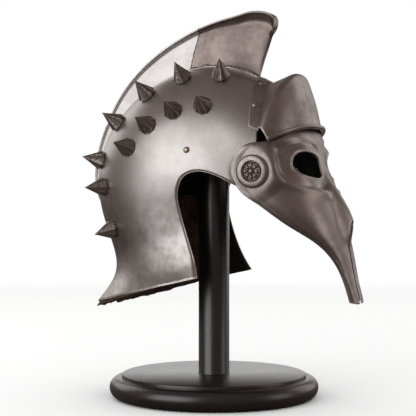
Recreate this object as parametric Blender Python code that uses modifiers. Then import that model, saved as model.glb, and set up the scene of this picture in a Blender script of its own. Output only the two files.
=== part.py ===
# Gladiator helmet on a turned display stand.
#
# The helmet faces +X, its plane of symmetry is y = 0, and the stand's foot lies on z = 0 with its post
# on the Z axis. All lengths are in metres. The sheet-metal pieces are lofts of arches: each arch joins
# two points of the left and right edges over a point of the centre plane, and each table of arches
# holds shares of the named sizes.

import math

import bmesh
import bpy
import numpy as np
from mathutils import Matrix, Vector

# Stand
BASE_RADIUS = 0.1355
BASE_HEIGHT = 0.030
BASE_TOP_RADIUS = 0.1235
BASE_TOP_STEP = 0.004
POST_RADIUS = 0.0200
CAP_RADIUS = 0.036
CAP_DOME_RADIUS = 0.054
CAP_GAP = 0.0007
CAP_EDGE = 0.008
EAR_LEVEL = 0.290

# Skull: the raised crown with its neck guard
SKULL_FRONT = 0.082
SKULL_LENGTH = 0.240
CROWN_HEIGHT = 0.136
GUARD_DROP = 0.170
SKULL_HALF_WIDTH = 0.088
SKULL_SKIN = 0.0020
SEAT_GAP = 0.0003

# Leather inside the neck guard
LINING_SKIN = 0.0016
LINING_GAP = 0.0005
LINING_START = 0.66

# Crest
CREST_RISE = 0.080
CREST_WEB = 0.0036
CREST_FOOT_HALF = 0.0085
CREST_FOOT_SKIN = 0.0016
CREST_RIM_HALF = 0.0095
CREST_RIM_HEIGHT = 0.015
CREST_RIM_EDGE = 0.0022
PROW_JOINT = 0.240
JOINT_GAP = 0.0004

# Brow plate
BROW_SKIN = 0.0020
BROW_REACH = 0.052
BROW_OVERLAP = 0.035
BROW_HALF_WIDTH = 0.098
BROW_SPAN = 0.667
BROW_GAP = 0.0005

# Visor and its pivots
PIVOT_AHEAD = 0.003
VISOR_SKIN = 0.0024
VISOR_REACH = 0.110
VISOR_RISE = 0.060
VISOR_DROP = 0.165
VISOR_HALF_WIDTH = 0.087
NOSE_RIDGE = 0.015
NOSE_HALF = 0.013
NOSE_TOP = 0.030
HUB_RADIUS = 0.024
HUB_BLEND = 0.016
SKULL_HUB = 0.079
SKULL_HUB_RADIUS = 0.016
SKULL_HUB_BLEND = 0.018
NOSE_FADE = 0.45
EYE_WIDTH = 0.052
EYE_HEIGHT = 0.033
EYE_OFFSET = 0.041
EYE_RISE = 0.008
EYE_TILT = 8.0
EYE_SQUARENESS = 0.72
SLIT_HALF = 0.0065
SLIT_TOP = 0.060
CUTTER_REACH = 1.4
BOLT_RADIUS = 0.0040
BOLT_CLEARANCE = 0.0004
COLLAR_RADIUS = 0.0075
NUT_RADIUS = 0.0080
NUT_HEIGHT = 0.0045
BOSS_RADIUS = 0.0205
BOSS_HEIGHT = 0.0045
BOSS_FLOOR = 0.0020
ROSETTE_RADIUS = 0.0120
ROSETTE_HEIGHT = 0.0055

# Spikes and rivets
SPIKE_RADIUS = 0.0125
SPIKE_LENGTH = 0.0270
SPIKE_TIP = 0.0008
SPIKE_SIDES = 10
RIVET_RADIUS = 0.0042
RIVET_HEIGHT = 0.0026

# Rows along and steps across each loft, and the sides of each round piece
SKULL_ROWS, SKULL_STEPS = 26, 24
VISOR_ROWS, VISOR_STEPS = 20, 26
BROW_LIP_ROWS, BROW_FRONT_ROWS = 2, 4
PROW_ROWS = 9
POST_SIDES, BASE_SIDES = 32, 40
BOLT_SIDES, BOSS_SIDES, RIVET_SIDES = 16, 20, 12
EYE_SIDES, SLIT_SIDES, CAP_STEPS = 24, 8, 4

PARTS = "gladiator_helmet"
CUTTERS = "cutters"

# Arches of the skull, from the brow over the crown and down the neck. back is a share of SKULL_LENGTH
# behind the front edge, rise a share of CROWN_HEIGHT above the ear line or of GUARD_DROP below it,
# edge_back and edge_rise the same for the side edge, and width a share of SKULL_HALF_WIDTH.
SKULL_ARCHES = [
    # back, rise, edge_back, edge_rise, width, fullness
    (0.000, 0.809, -0.025, -0.129, 0.880, 2.22),
    (0.133, 0.925, 0.042, -0.118, 0.912, 2.25),
    (0.342, 1.000, 0.133, -0.065, 0.945, 2.20),
    (0.550, 0.930, 0.217, -0.012, 0.972, 2.15),
    (0.745, 0.750, 0.292, 0.007, 0.990, 2.12),
    (0.885, 0.515, 0.342, -0.012, 1.000, 2.10),
    (0.965, 0.270, 0.375, -0.047, 1.000, 2.10),
    (1.000, 0.040, 0.396, -0.106, 0.990, 2.10),
    (1.000, -0.160, 0.404, -0.188, 0.972, 2.10),
    (0.970, -0.345, 0.392, -0.294, 0.950, 2.12),
    (0.920, -0.529, 0.363, -0.441, 0.935, 2.15),
    (0.890, -0.690, 0.333, -0.559, 0.945, 2.20),
    (0.915, -0.845, 0.304, -0.665, 0.995, 2.25),
    (0.995, -1.000, 0.275, -0.765, 1.100, 2.30),
]

# Arches of the visor, from its top edge down to the cheek points. ahead is a share of VISOR_REACH
# before the pivots, rise a share of VISOR_RISE above them or of VISOR_DROP below, edge_ahead and
# edge_rise the same for the rear edge, and width a share of VISOR_HALF_WIDTH.
VISOR_ARCHES = [
    # ahead, rise, edge_ahead, edge_rise, width, fullness
    (0.360, 1.000, 0.110, 0.500, 0.852, 2.55),
    (0.450, 0.820, 0.020, 0.540, 0.908, 2.58),
    (0.505, 0.620, -0.105, 0.490, 0.965, 2.60),
    (0.530, 0.400, -0.215, 0.260, 0.995, 2.60),
    (0.545, 0.130, -0.240, 0.000, 1.000, 2.60),
    (0.600, -0.070, -0.190, -0.085, 1.000, 2.55),
    (0.665, -0.170, -0.110, -0.155, 0.995, 2.50),
    (0.730, -0.275, 0.030, -0.220, 0.965, 2.40),
    (0.785, -0.380, 0.190, -0.300, 0.900, 2.30),
    (0.830, -0.490, 0.400, -0.405, 0.760, 2.20),
    (0.885, -0.615, 0.620, -0.515, 0.550, 2.15),
    (0.940, -0.790, 0.810, -0.690, 0.335, 2.10),
    (1.010, -0.985, 0.940, -0.970, 0.215, 2.10),
]

# Arches of the brow plate in front of the skull: its upper lip, its middle and the brow line. ahead and
# edge_ahead are shares of BROW_REACH before the skull's front edge, rise and edge_rise are as the
# skull's, and width is a share of BROW_HALF_WIDTH.
BROW_ARCHES = [
    # ahead, rise, edge_ahead, edge_rise, width, fullness
    (0.692, 0.912, -0.420, -0.215, 0.990, 2.40),
    (0.885, 0.691, -0.420, -0.083, 1.000, 2.42),
    (1.040, 0.420, -0.460, 0.118, 0.990, 2.45),
]

# Stations of the crest from the nape to the brow: foot is a share of the skull's centre line, and the
# rest are shares of the crest's own sizes. rise is measured straight out from the skull, lean along it
# towards the front.
CREST_STATIONS = [
    # foot, rise, lean, rim
    (0.700, 0.035, 0.025, 0.25),
    (0.650, 0.124, 0.045, 0.32),
    (0.550, 0.161, 0.099, 0.44),
    (0.450, 0.275, 0.179, 0.56),
    (0.350, 0.432, 0.256, 0.68),
    (0.250, 0.598, 0.348, 0.80),
    (0.150, 0.844, 0.224, 0.94),
    (0.100, 0.984, 0.076, 1.00),
    (0.070, 1.000, -0.006, 1.00),
    (0.055, 0.924, -0.046, 0.96),
    (0.045, 0.731, -0.120, 0.86),
]

# Spikes on each side, in rows: along is a share of the skull's centre line, across a share of its
# arch from the centre plane to the side edge.
SPIKE_ROWS = [
    # name, across, first along, last along, count
    ("upper", 0.290, 0.130, 0.570, 5),
    ("lower", 0.590, 0.190, 0.500, 4),
    ("neck", 0.400, 0.640, 0.770, 2),
]

# Rivets on each side, as places on the skull
EAR_RIVET = (0.330, 0.865)
BROW_RIVETS = [0.200, 0.480]


def clear_scene():
    for old in list(bpy.data.objects):
        bpy.data.objects.remove(old)


def new_collection(name):
    made = bpy.data.collections.new(name)
    bpy.context.scene.collection.children.link(made)
    return made


def make_material(name, colour, roughness, metallic):
    made = bpy.data.materials.new(name)
    made.use_nodes = True
    shader = made.node_tree.nodes["Principled BSDF"]
    shader.inputs["Base Color"].default_value = (*colour, 1.0)
    shader.inputs["Roughness"].default_value = roughness
    shader.inputs["Metallic"].default_value = metallic
    return made


def add_mesh(name, verts, faces, collection, material=None):
    mesh = bpy.data.meshes.new(name)
    mesh.from_pydata([tuple(v) for v in verts], [], faces)
    mesh.update()
    obj = bpy.data.objects.new(name, mesh)
    collection.objects.link(obj)
    if material is not None:
        mesh.materials.append(material)
    return obj


def shade(obj, angle=35.0):
    obj.data.shade_smooth()
    obj.data.set_sharp_from_angle(angle=math.radians(angle))
    return obj


def natural_spline(knots, values):
    """Second derivatives of the natural cubic spline through values at knots."""
    count = len(knots)
    matrix = np.eye(count)
    right = np.zeros_like(values)
    for i in range(1, count - 1):
        before, after = knots[i] - knots[i - 1], knots[i + 1] - knots[i]
        matrix[i, i - 1 : i + 2] = before, 2 * (before + after), after
        right[i] = 6 * ((values[i + 1] - values[i]) / after - (values[i] - values[i - 1]) / before)
    return np.linalg.solve(matrix, right)


class Curve:
    """A smooth curve through rows of numbers, read by a share from 0 to 1."""

    def __init__(self, rows, measure):
        self.rows = np.array(rows, float)
        steps = np.linalg.norm(np.diff(self.rows[:, measure], axis=0), axis=1)
        self.knots = np.concatenate([[0.0], np.cumsum(steps)]) / steps.sum()
        self.bend = natural_spline(self.knots, self.rows)

    def at(self, share):
        share = min(max(share, 0.0), 1.0)
        i = min(int(np.searchsorted(self.knots, share, "right")) - 1, len(self.knots) - 2)
        width = self.knots[i + 1] - self.knots[i]
        b = (share - self.knots[i]) / width
        a = 1.0 - b
        bend = ((a**3 - a) * self.bend[i] + (b**3 - b) * self.bend[i + 1]) * width**2 / 6
        return (a * self.rows[i] + b * self.rows[i + 1] + bend).tolist()


class Shell:
    """A sheet lofted through arches, read by along, 0 to 1, and across, -1 (right) to 1 (left)."""

    def __init__(self, arches, shape=None):
        self.curve = Curve(arches, [0, 1, 2, 3])
        self.shape = shape

    def point(self, along, across):
        top_x, top_z, edge_x, edge_z, width, fullness = self.curve.at(along)
        turn = across * math.pi / 2
        y = math.copysign(width * abs(math.sin(turn)) ** (2 / fullness), across)
        lift = max(math.cos(turn), 0.0) ** (2 / fullness)
        made = Vector((edge_x + (top_x - edge_x) * lift, y, edge_z + (top_z - edge_z) * lift))
        return self.shape(made, along) if self.shape else made

    def normal(self, along, across):
        step = 1e-3
        a, b = min(along + step, 1.0), max(along - step, 0.0)
        run = self.point(a, across) - self.point(b, across)
        reach = min(max(across, -1 + step), 1 - step)
        side = self.point(along, reach + step) - self.point(along, reach - step)
        return side.cross(run).normalized()

    def offset(self, along, across, distance):
        return self.point(along, across) + distance * self.normal(along, across)


def grid_faces(rows, columns):
    faces = []
    for i in range(rows - 1):
        for j in range(columns - 1):
            corner = i * columns + j
            faces.append((corner, corner + 1, corner + columns + 1, corner + columns))
    return faces


def add_sheet(name, rows, skin, collection, material):
    """A sheet of even thickness round a grid of points of its middle."""
    verts = [p for row in rows for p in row]
    obj = add_mesh(name, verts, grid_faces(len(rows), len(rows[0])), collection, material)
    shade(obj)
    solid = obj.modifiers.new("thickness", "SOLIDIFY")
    solid.thickness = skin
    solid.offset = 0.0
    solid.use_even_offset = True
    return obj


def add_turned(name, profile, steps, collection, material=None, place=(0, 0, 0), side=0, ring=False):
    """A solid turned from (radius, height) pairs, outer side first from the top down. Its axis is Z,
    or points out of the helmet's left (1) or right (-1) side, and a ring closes its own profile."""
    verts = [(r, 0.0, h) for r, h in profile]
    edges = [(i, i + 1) for i in range(len(profile) - 1)]
    if ring:
        edges.append((len(profile) - 1, 0))
    mesh = bpy.data.meshes.new(name)
    mesh.from_pydata(verts, edges, [])
    obj = bpy.data.objects.new(name, mesh)
    collection.objects.link(obj)
    if material is not None:
        mesh.materials.append(material)
    screw = obj.modifiers.new("turn", "SCREW")
    screw.steps = screw.render_steps = steps
    screw.use_merge_vertices = True
    screw.merge_threshold = 0.00001
    screw.use_smooth_shade = True
    obj.location = place
    if side:
        obj.rotation_euler = (-side * math.pi / 2, 0.0, 0.0)
    return obj


def cut(obj, cutter):
    made = obj.modifiers.new("cut", "BOOLEAN")
    made.operation = "DIFFERENCE"
    made.object = cutter


def hide_cutter(obj):
    obj.hide_render = True
    obj.display_type = "WIRE"
    return obj


def level(share, above, below):
    return EAR_LEVEL + share * (above if share >= 0 else below)


def skull_arches():
    rows = []
    for back, rise, edge_back, edge_rise, width, fullness in SKULL_ARCHES:
        rows.append(
            (
                SKULL_FRONT - back * SKULL_LENGTH,
                level(rise, CROWN_HEIGHT, GUARD_DROP),
                SKULL_FRONT - edge_back * SKULL_LENGTH,
                level(edge_rise, CROWN_HEIGHT, GUARD_DROP),
                width * SKULL_HALF_WIDTH,
                fullness,
            )
        )
    return rows


def visor_arches():
    rows = []
    for ahead, rise, edge_ahead, edge_rise, width, fullness in VISOR_ARCHES:
        rows.append(
            (
                pivot_x() + ahead * VISOR_REACH,
                level(rise, VISOR_RISE, VISOR_DROP),
                pivot_x() + edge_ahead * VISOR_REACH,
                level(edge_rise, VISOR_RISE, VISOR_DROP),
                width * VISOR_HALF_WIDTH,
                fullness,
            )
        )
    return rows


def brow_arches():
    rows = []
    for ahead, rise, edge_ahead, edge_rise, width, fullness in BROW_ARCHES:
        rows.append(
            (
                SKULL_FRONT + ahead * BROW_REACH,
                level(rise, CROWN_HEIGHT, GUARD_DROP),
                SKULL_FRONT + edge_ahead * BROW_REACH,
                level(edge_rise, CROWN_HEIGHT, GUARD_DROP),
                width * BROW_HALF_WIDTH,
                fullness,
            )
        )
    return rows


def pivot_x():
    return SKULL_FRONT + PIVOT_AHEAD


def smooth_step(value):
    value = min(max(value, 0.0), 1.0)
    return value * value * (3 - 2 * value)


def flatten_hub(p, half_width, radius, blend):
    """Draws the sheet to a flat round face across the pivot axis."""
    away = math.hypot(p.x - pivot_x(), p.z - EAR_LEVEL)
    weight = 1.0 - smooth_step((away - radius) / blend)
    if abs(p.y) > half_width / 2:
        p.y += weight * (math.copysign(half_width, p.y) - p.y)
    return p


def shape_skull(p, along):
    return flatten_hub(p, SKULL_HUB, SKULL_HUB_RADIUS, SKULL_HUB_BLEND)


def shape_visor(p, along):
    p = flatten_hub(p, VISOR_HALF_WIDTH, HUB_RADIUS, HUB_BLEND)
    down = (EAR_LEVEL + NOSE_TOP - p.z) / (NOSE_TOP + SLIT_TOP)
    swell = smooth_step(down) * (1.0 - smooth_step((down - 1.0) / NOSE_FADE))
    p.x += NOSE_RIDGE * swell * math.exp(-((p.y / NOSE_HALF) ** 2))
    return p


def across_steps(steps):
    return [-1 + 2 * j / steps for j in range(steps + 1)]


def pivot_hole(name, collection):
    """A cutter through both sides for the bolts' shanks."""
    reach = VISOR_HALF_WIDTH + VISOR_SKIN * 3
    radius = BOLT_RADIUS + BOLT_CLEARANCE
    profile = [(0.0, reach), (radius, reach), (radius, -reach), (0.0, -reach)]
    return hide_cutter(
        add_turned(name, profile, BOLT_SIDES, collection, place=(pivot_x(), 0.0, EAR_LEVEL), side=1)
    )


def build_skull(skull, collection, cutters, material):
    columns = across_steps(SKULL_STEPS)
    rows = [[skull.point(i / SKULL_ROWS, t) for t in columns] for i in range(SKULL_ROWS + 1)]
    obj = add_sheet("skull", rows, SKULL_SKIN, collection, material)
    cut(obj, pivot_hole("skull_bolt_hole", cutters))


def build_lining(skull, collection, material):
    inside = -(SKULL_SKIN / 2 + LINING_GAP + LINING_SKIN / 2)
    first = round(LINING_START * SKULL_ROWS)
    columns = across_steps(SKULL_STEPS)[1:-1]
    rows = [[skull.offset(i / SKULL_ROWS, t, inside) for t in columns] for i in range(first, SKULL_ROWS)]
    add_sheet("neck_lining", rows, LINING_SKIN, collection, material)


def crest_ring(skull, station):
    """The crest's cross-section at one station: a foot strip, a thin web and a flared rim."""
    foot, rise, lean, rim = station
    gap = SKULL_SKIN / 2 + SEAT_GAP
    base = skull.offset(foot, 0.0, gap)
    out = skull.normal(foot, 0.0)
    ahead = Vector((out.z, 0.0, -out.x))
    reach = CREST_RISE * (rise * out + lean * ahead)
    height = reach.length
    width, fullness = skull.curve.at(foot)[4:6]
    across = math.asin((CREST_FOOT_HALF / width) ** (fullness / 2)) * 2 / math.pi
    foot_skin = min(CREST_FOOT_SKIN, 0.3 * height)
    rim_half = max(CREST_WEB / 2, rim * CREST_RIM_HALF)
    rim_low = height - min(CREST_RIM_HEIGHT * rim, 0.5 * height)
    rim_high = height - min(CREST_RIM_EDGE, 0.2 * height)
    half = [skull.offset(foot, across, gap), skull.offset(foot, across, gap + foot_skin)]
    for y, rise_here in ((CREST_WEB / 2, foot_skin), (CREST_WEB / 2, rim_low), (rim_half, rim_high)):
        half.append(base + reach * (rise_here / height) + Vector((0.0, y, 0.0)))
    half.append(base + reach + Vector((0.0, rim_half * 0.7, 0.0)))
    mirrored = [Vector((p.x, -p.y, p.z)) for p in reversed(half)]
    return [base] + half + mirrored


def loft_rings(name, rings, collection, material):
    count = len(rings[0])
    verts = [p for ring in rings for p in ring]
    faces = []
    for i in range(len(rings) - 1):
        for j in range(count):
            a, b = i * count + j, i * count + (j + 1) % count
            faces.append((a, b, b + count, a + count))
    faces.append(tuple(range(count - 1, -1, -1)))
    faces.append(tuple((len(rings) - 1) * count + j for j in range(count)))
    obj = add_mesh(name, verts, faces, collection, material)
    made = bmesh.new()
    made.from_mesh(obj.data)
    bmesh.ops.recalc_face_normals(made, faces=made.faces)
    bmesh.ops.triangulate(made, faces=made.faces)
    made.to_mesh(obj.data)
    made.free()
    return shade(obj)


def build_crest(skull, collection, bright, dark):
    """The blade and the prow share one outline and meet at PROW_JOINT."""
    stations = Curve(CREST_STATIONS, [0, 1, 2])
    centre_line = [skull.point(i / SKULL_ROWS, 0.0) for i in range(SKULL_ROWS + 1)]
    length = sum((b - a).length for a, b in zip(centre_line, centre_line[1:]))
    half_gap = JOINT_GAP / length
    nape, brow = CREST_STATIONS[0][0], CREST_STATIONS[-1][0]
    rows = [i / SKULL_ROWS for i in range(SKULL_ROWS + 1)]

    def share_at(foot):
        low, high = 0.0, 1.0
        for _ in range(40):
            middle = (low + high) / 2
            low, high = (middle, high) if stations.at(middle)[0] > foot else (low, middle)
        return (low + high) / 2

    def rings(first, last, extra):
        start, end = share_at(first), share_at(last)
        shares = [share_at(foot) for foot in rows if last < foot < first]
        shares += [start + (end - start) * i / extra for i in range(extra + 1)]
        return [crest_ring(skull, stations.at(share)) for share in sorted(shares)]

    loft_rings("crest_blade", rings(nape, PROW_JOINT + half_gap, 1), collection, bright)
    loft_rings("crest_prow", rings(PROW_JOINT - half_gap, brow, PROW_ROWS), collection, dark)


def build_brow_plate(skull, collection, material):
    """A band over the skull's front edge, a straight rise to a creased lip, and a fall to the brow line."""
    hood = Shell(brow_arches())
    outside = SKULL_SKIN / 2 + BROW_GAP + BROW_SKIN / 2
    columns = [t for t in across_steps(SKULL_STEPS) if abs(t) <= BROW_SPAN + 1e-6]
    band = [[skull.offset(share, t, outside) for t in columns] for share in (BROW_OVERLAP, 0.0)]
    front = []
    for j, t in enumerate(columns):
        lip, middle, brow_line = [hood.point(share, t) for share in (0.0, 0.5, 1.0)]
        fall = Curve([tuple(lip), tuple(middle), tuple(brow_line)], [0, 1, 2])
        rise = [band[1][j].lerp(lip, i / BROW_LIP_ROWS) for i in range(1, BROW_LIP_ROWS + 1)]
        front.append(rise + [Vector(fall.at(i / BROW_FRONT_ROWS)) for i in range(1, BROW_FRONT_ROWS + 1)])
    rows = band + [list(row) for row in zip(*front)]
    add_sheet("brow_plate", rows, BROW_SKIN, collection, material)


def eye_cutter(side, collection):
    """A rounded and tilted opening across the visor, extruded straight ahead."""
    outline = []
    for k in range(EYE_SIDES):
        turn = 2 * math.pi * k / EYE_SIDES
        y = EYE_WIDTH / 2 * math.copysign(abs(math.cos(turn)) ** EYE_SQUARENESS, math.cos(turn))
        z = EYE_HEIGHT / 2 * math.copysign(abs(math.sin(turn)) ** EYE_SQUARENESS, math.sin(turn))
        outline.append((y, z))
    tilt = math.radians(EYE_TILT)
    near, far = pivot_x(), pivot_x() + CUTTER_REACH * VISOR_REACH
    verts = []
    for x in (near, far):
        for y, z in outline:
            across = y * math.cos(tilt) - z * math.sin(tilt) + EYE_OFFSET
            verts.append((x, side * across, EAR_LEVEL + EYE_RISE + y * math.sin(tilt) + z * math.cos(tilt)))
    return closed_prism("eye_cutter", verts, len(outline), collection)


def slit_cutter(collection):
    """A slot with a round top, open through the cheek points."""
    low = -CUTTER_REACH * VISOR_DROP
    outline = [(SLIT_HALF, low), (-SLIT_HALF, low)]
    for k in range(SLIT_SIDES + 1):
        turn = math.pi * k / SLIT_SIDES
        outline.append((-SLIT_HALF * math.cos(turn), -SLIT_TOP - SLIT_HALF + SLIT_HALF * math.sin(turn)))
    near, far = pivot_x(), pivot_x() + CUTTER_REACH * VISOR_REACH
    verts = [(x, y, EAR_LEVEL + z) for x in (near, far) for y, z in outline]
    return closed_prism("slit_cutter", verts, len(outline), collection)


def closed_prism(name, verts, count, collection):
    faces = [tuple(range(count)), tuple(range(2 * count - 1, count - 1, -1))]
    faces += [(j, (j + 1) % count, count + (j + 1) % count, count + j) for j in range(count)]
    obj = add_mesh(name, verts, faces, collection)
    made = bmesh.new()
    made.from_mesh(obj.data)
    bmesh.ops.recalc_face_normals(made, faces=made.faces)
    made.to_mesh(obj.data)
    made.free()
    return hide_cutter(obj)


def build_visor(collection, cutters, material):
    visor = Shell(visor_arches(), shape_visor)
    columns = across_steps(VISOR_STEPS)
    rows = [[visor.point(i / VISOR_ROWS, t) for t in columns] for i in range(VISOR_ROWS + 1)]
    obj = add_sheet("visor", rows, VISOR_SKIN, collection, material)
    cut(obj, eye_cutter(1, cutters))
    cut(obj, eye_cutter(-1, cutters))
    cut(obj, slit_cutter(cutters))
    cut(obj, pivot_hole("visor_bolt_hole", cutters))


def build_pivots(collection, dark, steel):
    """On each side a dished boss turns with the visor, round a bolt that is nutted inside the skull."""
    place = (pivot_x(), 0.0, EAR_LEVEL)
    hole = BOLT_RADIUS + BOLT_CLEARANCE
    boss_seat = VISOR_HALF_WIDTH + VISOR_SKIN / 2 + SEAT_GAP
    floor = boss_seat + BOSS_FLOOR
    rim = boss_seat + BOSS_HEIGHT
    dish = ROSETTE_RADIUS + BOLT_CLEARANCE * 2
    boss = [
        (dish, rim),
        (0.90 * BOSS_RADIUS, rim),
        (BOSS_RADIUS, boss_seat + 0.5 * BOSS_HEIGHT),
        (BOSS_RADIUS, boss_seat),
        (hole, boss_seat),
        (hole, floor),
        (dish, floor),
    ]
    head = floor + SEAT_GAP
    collar_out = VISOR_HALF_WIDTH - VISOR_SKIN / 2 - SEAT_GAP
    collar_in = SKULL_HUB + SKULL_SKIN / 2 + SEAT_GAP
    nut_out = SKULL_HUB - SKULL_SKIN / 2 - SEAT_GAP
    bolt = [
        (0.0, head + ROSETTE_HEIGHT),
        (0.75 * ROSETTE_RADIUS, head + 0.9 * ROSETTE_HEIGHT),
        (ROSETTE_RADIUS, head + 0.6 * ROSETTE_HEIGHT),
        (ROSETTE_RADIUS, head),
        (BOLT_RADIUS, head),
        (BOLT_RADIUS, collar_out),
        (COLLAR_RADIUS, collar_out),
        (COLLAR_RADIUS, collar_in),
        (BOLT_RADIUS, collar_in),
        (BOLT_RADIUS, nut_out),
        (NUT_RADIUS, nut_out),
        (NUT_RADIUS, nut_out - NUT_HEIGHT),
        (0.0, nut_out - NUT_HEIGHT),
    ]
    for name, side in (("l", 1), ("r", -1)):
        add_turned("pivot_boss_" + name, boss, BOSS_SIDES, collection, steel, place, side, ring=True)
        add_turned("pivot_bolt_" + name, bolt, BOLT_SIDES, collection, dark, place, side)


def seat(obj, place, out):
    obj.location = place
    obj.rotation_mode = "QUATERNION"
    obj.rotation_quaternion = out.to_track_quat("Z", "Y")
    return obj


def build_spikes(skull, collection, material):
    """Forged spikes in rows, the same on both sides."""
    cone = bpy.data.meshes.new("spike")
    made = bmesh.new()
    bmesh.ops.create_cone(
        made,
        cap_ends=True,
        segments=SPIKE_SIDES,
        radius1=SPIKE_RADIUS,
        radius2=SPIKE_TIP,
        depth=SPIKE_LENGTH,
        matrix=Matrix.Translation((0.0, 0.0, SPIKE_LENGTH / 2)),
    )
    made.to_mesh(cone)
    made.free()
    cone.materials.append(material)
    gap = SKULL_SKIN / 2 + SEAT_GAP
    for row, across, first, last, count in SPIKE_ROWS:
        for k in range(count):
            along = first + (last - first) * k / (count - 1)
            for name, side in (("l", 1), ("r", -1)):
                obj = bpy.data.objects.new("spike_%s_%d_%s" % (row, k + 1, name), cone)
                collection.objects.link(obj)
                seat(obj, skull.offset(along, side * across, gap), skull.normal(along, side * across))


def build_rivets(skull, collection, brass, steel):
    def add_rivet(name, along, across, lift, material):
        dome = [
            (0.0, RIVET_HEIGHT),
            (0.60 * RIVET_RADIUS, 0.80 * RIVET_HEIGHT),
            (RIVET_RADIUS, 0.25 * RIVET_HEIGHT),
            (RIVET_RADIUS, 0.0),
            (0.0, 0.0),
        ]
        obj = add_turned(name, dome, RIVET_SIDES, collection, material)
        seat(obj, skull.offset(along, across, lift), skull.normal(along, across))

    on_skull = SKULL_SKIN / 2 + SEAT_GAP
    on_brow = SKULL_SKIN / 2 + BROW_GAP + BROW_SKIN + SEAT_GAP
    for name, side in (("l", 1), ("r", -1)):
        along, across = EAR_RIVET
        add_rivet("ear_rivet_" + name, along, side * across, on_skull, brass)
        for k, across in enumerate(BROW_RIVETS):
            add_rivet("brow_rivet_%d_%s" % (k + 1, name), BROW_OVERLAP / 2, side * across, on_brow, steel)


def build_stand(collection, material):
    bulge = [
        (BASE_TOP_RADIUS + (BASE_RADIUS - BASE_TOP_RADIUS) * math.cos(turn), math.sin(turn))
        for turn in (math.radians(a) for a in (90, 55, 25, 0, -25, -55, -90))
    ]
    half = (BASE_HEIGHT - BASE_TOP_STEP) / 2
    base = [(0.0, BASE_HEIGHT), (BASE_TOP_RADIUS - BASE_TOP_STEP, BASE_HEIGHT)]
    base += [(BASE_TOP_RADIUS - BASE_TOP_STEP, 2 * half + 0.0001)]
    base += [(radius, half + half * rise) for radius, rise in bulge]
    base += [(0.0, 0.0)]
    add_turned("stand_base", base, BASE_SIDES, collection, material)
    top = EAR_LEVEL + CROWN_HEIGHT - SKULL_SKIN / 2 - CAP_GAP
    dome_drop = CAP_DOME_RADIUS - math.sqrt(CAP_DOME_RADIUS**2 - CAP_RADIUS**2)
    angle = math.asin(CAP_RADIUS / CAP_DOME_RADIUS)
    turns = [angle * k / CAP_STEPS for k in range(CAP_STEPS + 1)]
    cap = [(CAP_DOME_RADIUS * math.sin(turn), top - CAP_DOME_RADIUS * (1 - math.cos(turn))) for turn in turns]
    cap_low = top - dome_drop - CAP_EDGE
    cap += [(CAP_RADIUS, cap_low), (0.0, cap_low)]
    add_turned("stand_cap", cap, POST_SIDES, collection, material)
    low, high = BASE_HEIGHT + SEAT_GAP, cap_low - SEAT_GAP
    post = [(0.0, high), (POST_RADIUS, high), (POST_RADIUS, low), (0.0, low)]
    add_turned("stand_post", post, POST_SIDES, collection, material)


def main():
    clear_scene()
    parts = new_collection(PARTS)
    cutters = new_collection(CUTTERS)
    steel = make_material("aged steel", (0.42, 0.40, 0.385), 0.38, 1.0)
    bright = make_material("polished steel", (0.62, 0.60, 0.59), 0.25, 1.0)
    dark = make_material("cast steel", (0.20, 0.175, 0.165), 0.45, 1.0)
    brass = make_material("brass", (0.45, 0.33, 0.20), 0.40, 1.0)
    leather = make_material("leather", (0.055, 0.035, 0.025), 0.85, 0.0)
    lacquer = make_material("black lacquer", (0.012, 0.012, 0.013), 0.38, 0.0)
    skull = Shell(skull_arches(), shape_skull)
    build_skull(skull, parts, cutters, steel)
    build_lining(skull, parts, leather)
    build_crest(skull, parts, bright, dark)
    build_brow_plate(skull, parts, steel)
    build_visor(parts, cutters, steel)
    build_pivots(parts, dark, steel)
    build_spikes(skull, parts, dark)
    build_rivets(skull, parts, brass, steel)
    build_stand(parts, lacquer)


main()
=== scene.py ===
# Gladiator helmet on its turned stand: the finish of every surface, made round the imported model.
# The helmet faces +X, the stand's foot is on z = 0, and all lengths are in metres.

import math
import random

import bmesh
import bpy
import numpy as np
from mathutils import Matrix, Vector, noise
from mathutils.bvhtree import BVHTree


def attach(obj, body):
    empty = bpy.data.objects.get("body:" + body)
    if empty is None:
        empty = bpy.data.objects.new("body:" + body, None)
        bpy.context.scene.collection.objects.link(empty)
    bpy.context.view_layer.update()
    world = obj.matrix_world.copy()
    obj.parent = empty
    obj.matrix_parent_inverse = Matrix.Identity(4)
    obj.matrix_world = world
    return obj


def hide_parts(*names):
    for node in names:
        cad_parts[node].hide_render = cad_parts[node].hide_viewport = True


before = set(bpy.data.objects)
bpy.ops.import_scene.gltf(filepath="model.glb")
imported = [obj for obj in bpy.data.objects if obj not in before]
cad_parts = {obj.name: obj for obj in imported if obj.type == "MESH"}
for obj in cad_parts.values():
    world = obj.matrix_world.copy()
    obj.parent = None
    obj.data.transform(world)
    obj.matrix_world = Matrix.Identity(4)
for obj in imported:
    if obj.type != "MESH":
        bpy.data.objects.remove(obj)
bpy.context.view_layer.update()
pieces = bpy.data.collections.new("helmet_pieces")
bpy.context.scene.collection.children.link(pieces)


# Steel
# Every plate is raised from mild steel sheet, tumbled, darkened and rubbed back by hand. Clouds of
# tarnish lie on the faces, and the edges that hands and cloth reach are bright.
CLOUD_EDGE = (0.38, 0.66)
MOTTLE_FINENESS = 9.0
MOTTLE_SHARE = 0.28
WEAR_SCALE = 190.0
WEAR_REACH = (0.45, 1.6)
WEAR_FADE = (0.35, 1.0)
WEAR_AMOUNT = 0.85
DENT_AMOUNT = 0.5
WAVE_COARSENESS = 0.45
GRAIN_SCALE = 900.0
GRAIN_DEPTH = 0.12
AGED = {"clouds": 13.0, "amount": 0.75, "smooth": 0.36, "rough": 0.48, "edge": 0.0022,
        "dents": 34.0, "depth": 0.0004, "grain": 0.35}


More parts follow.
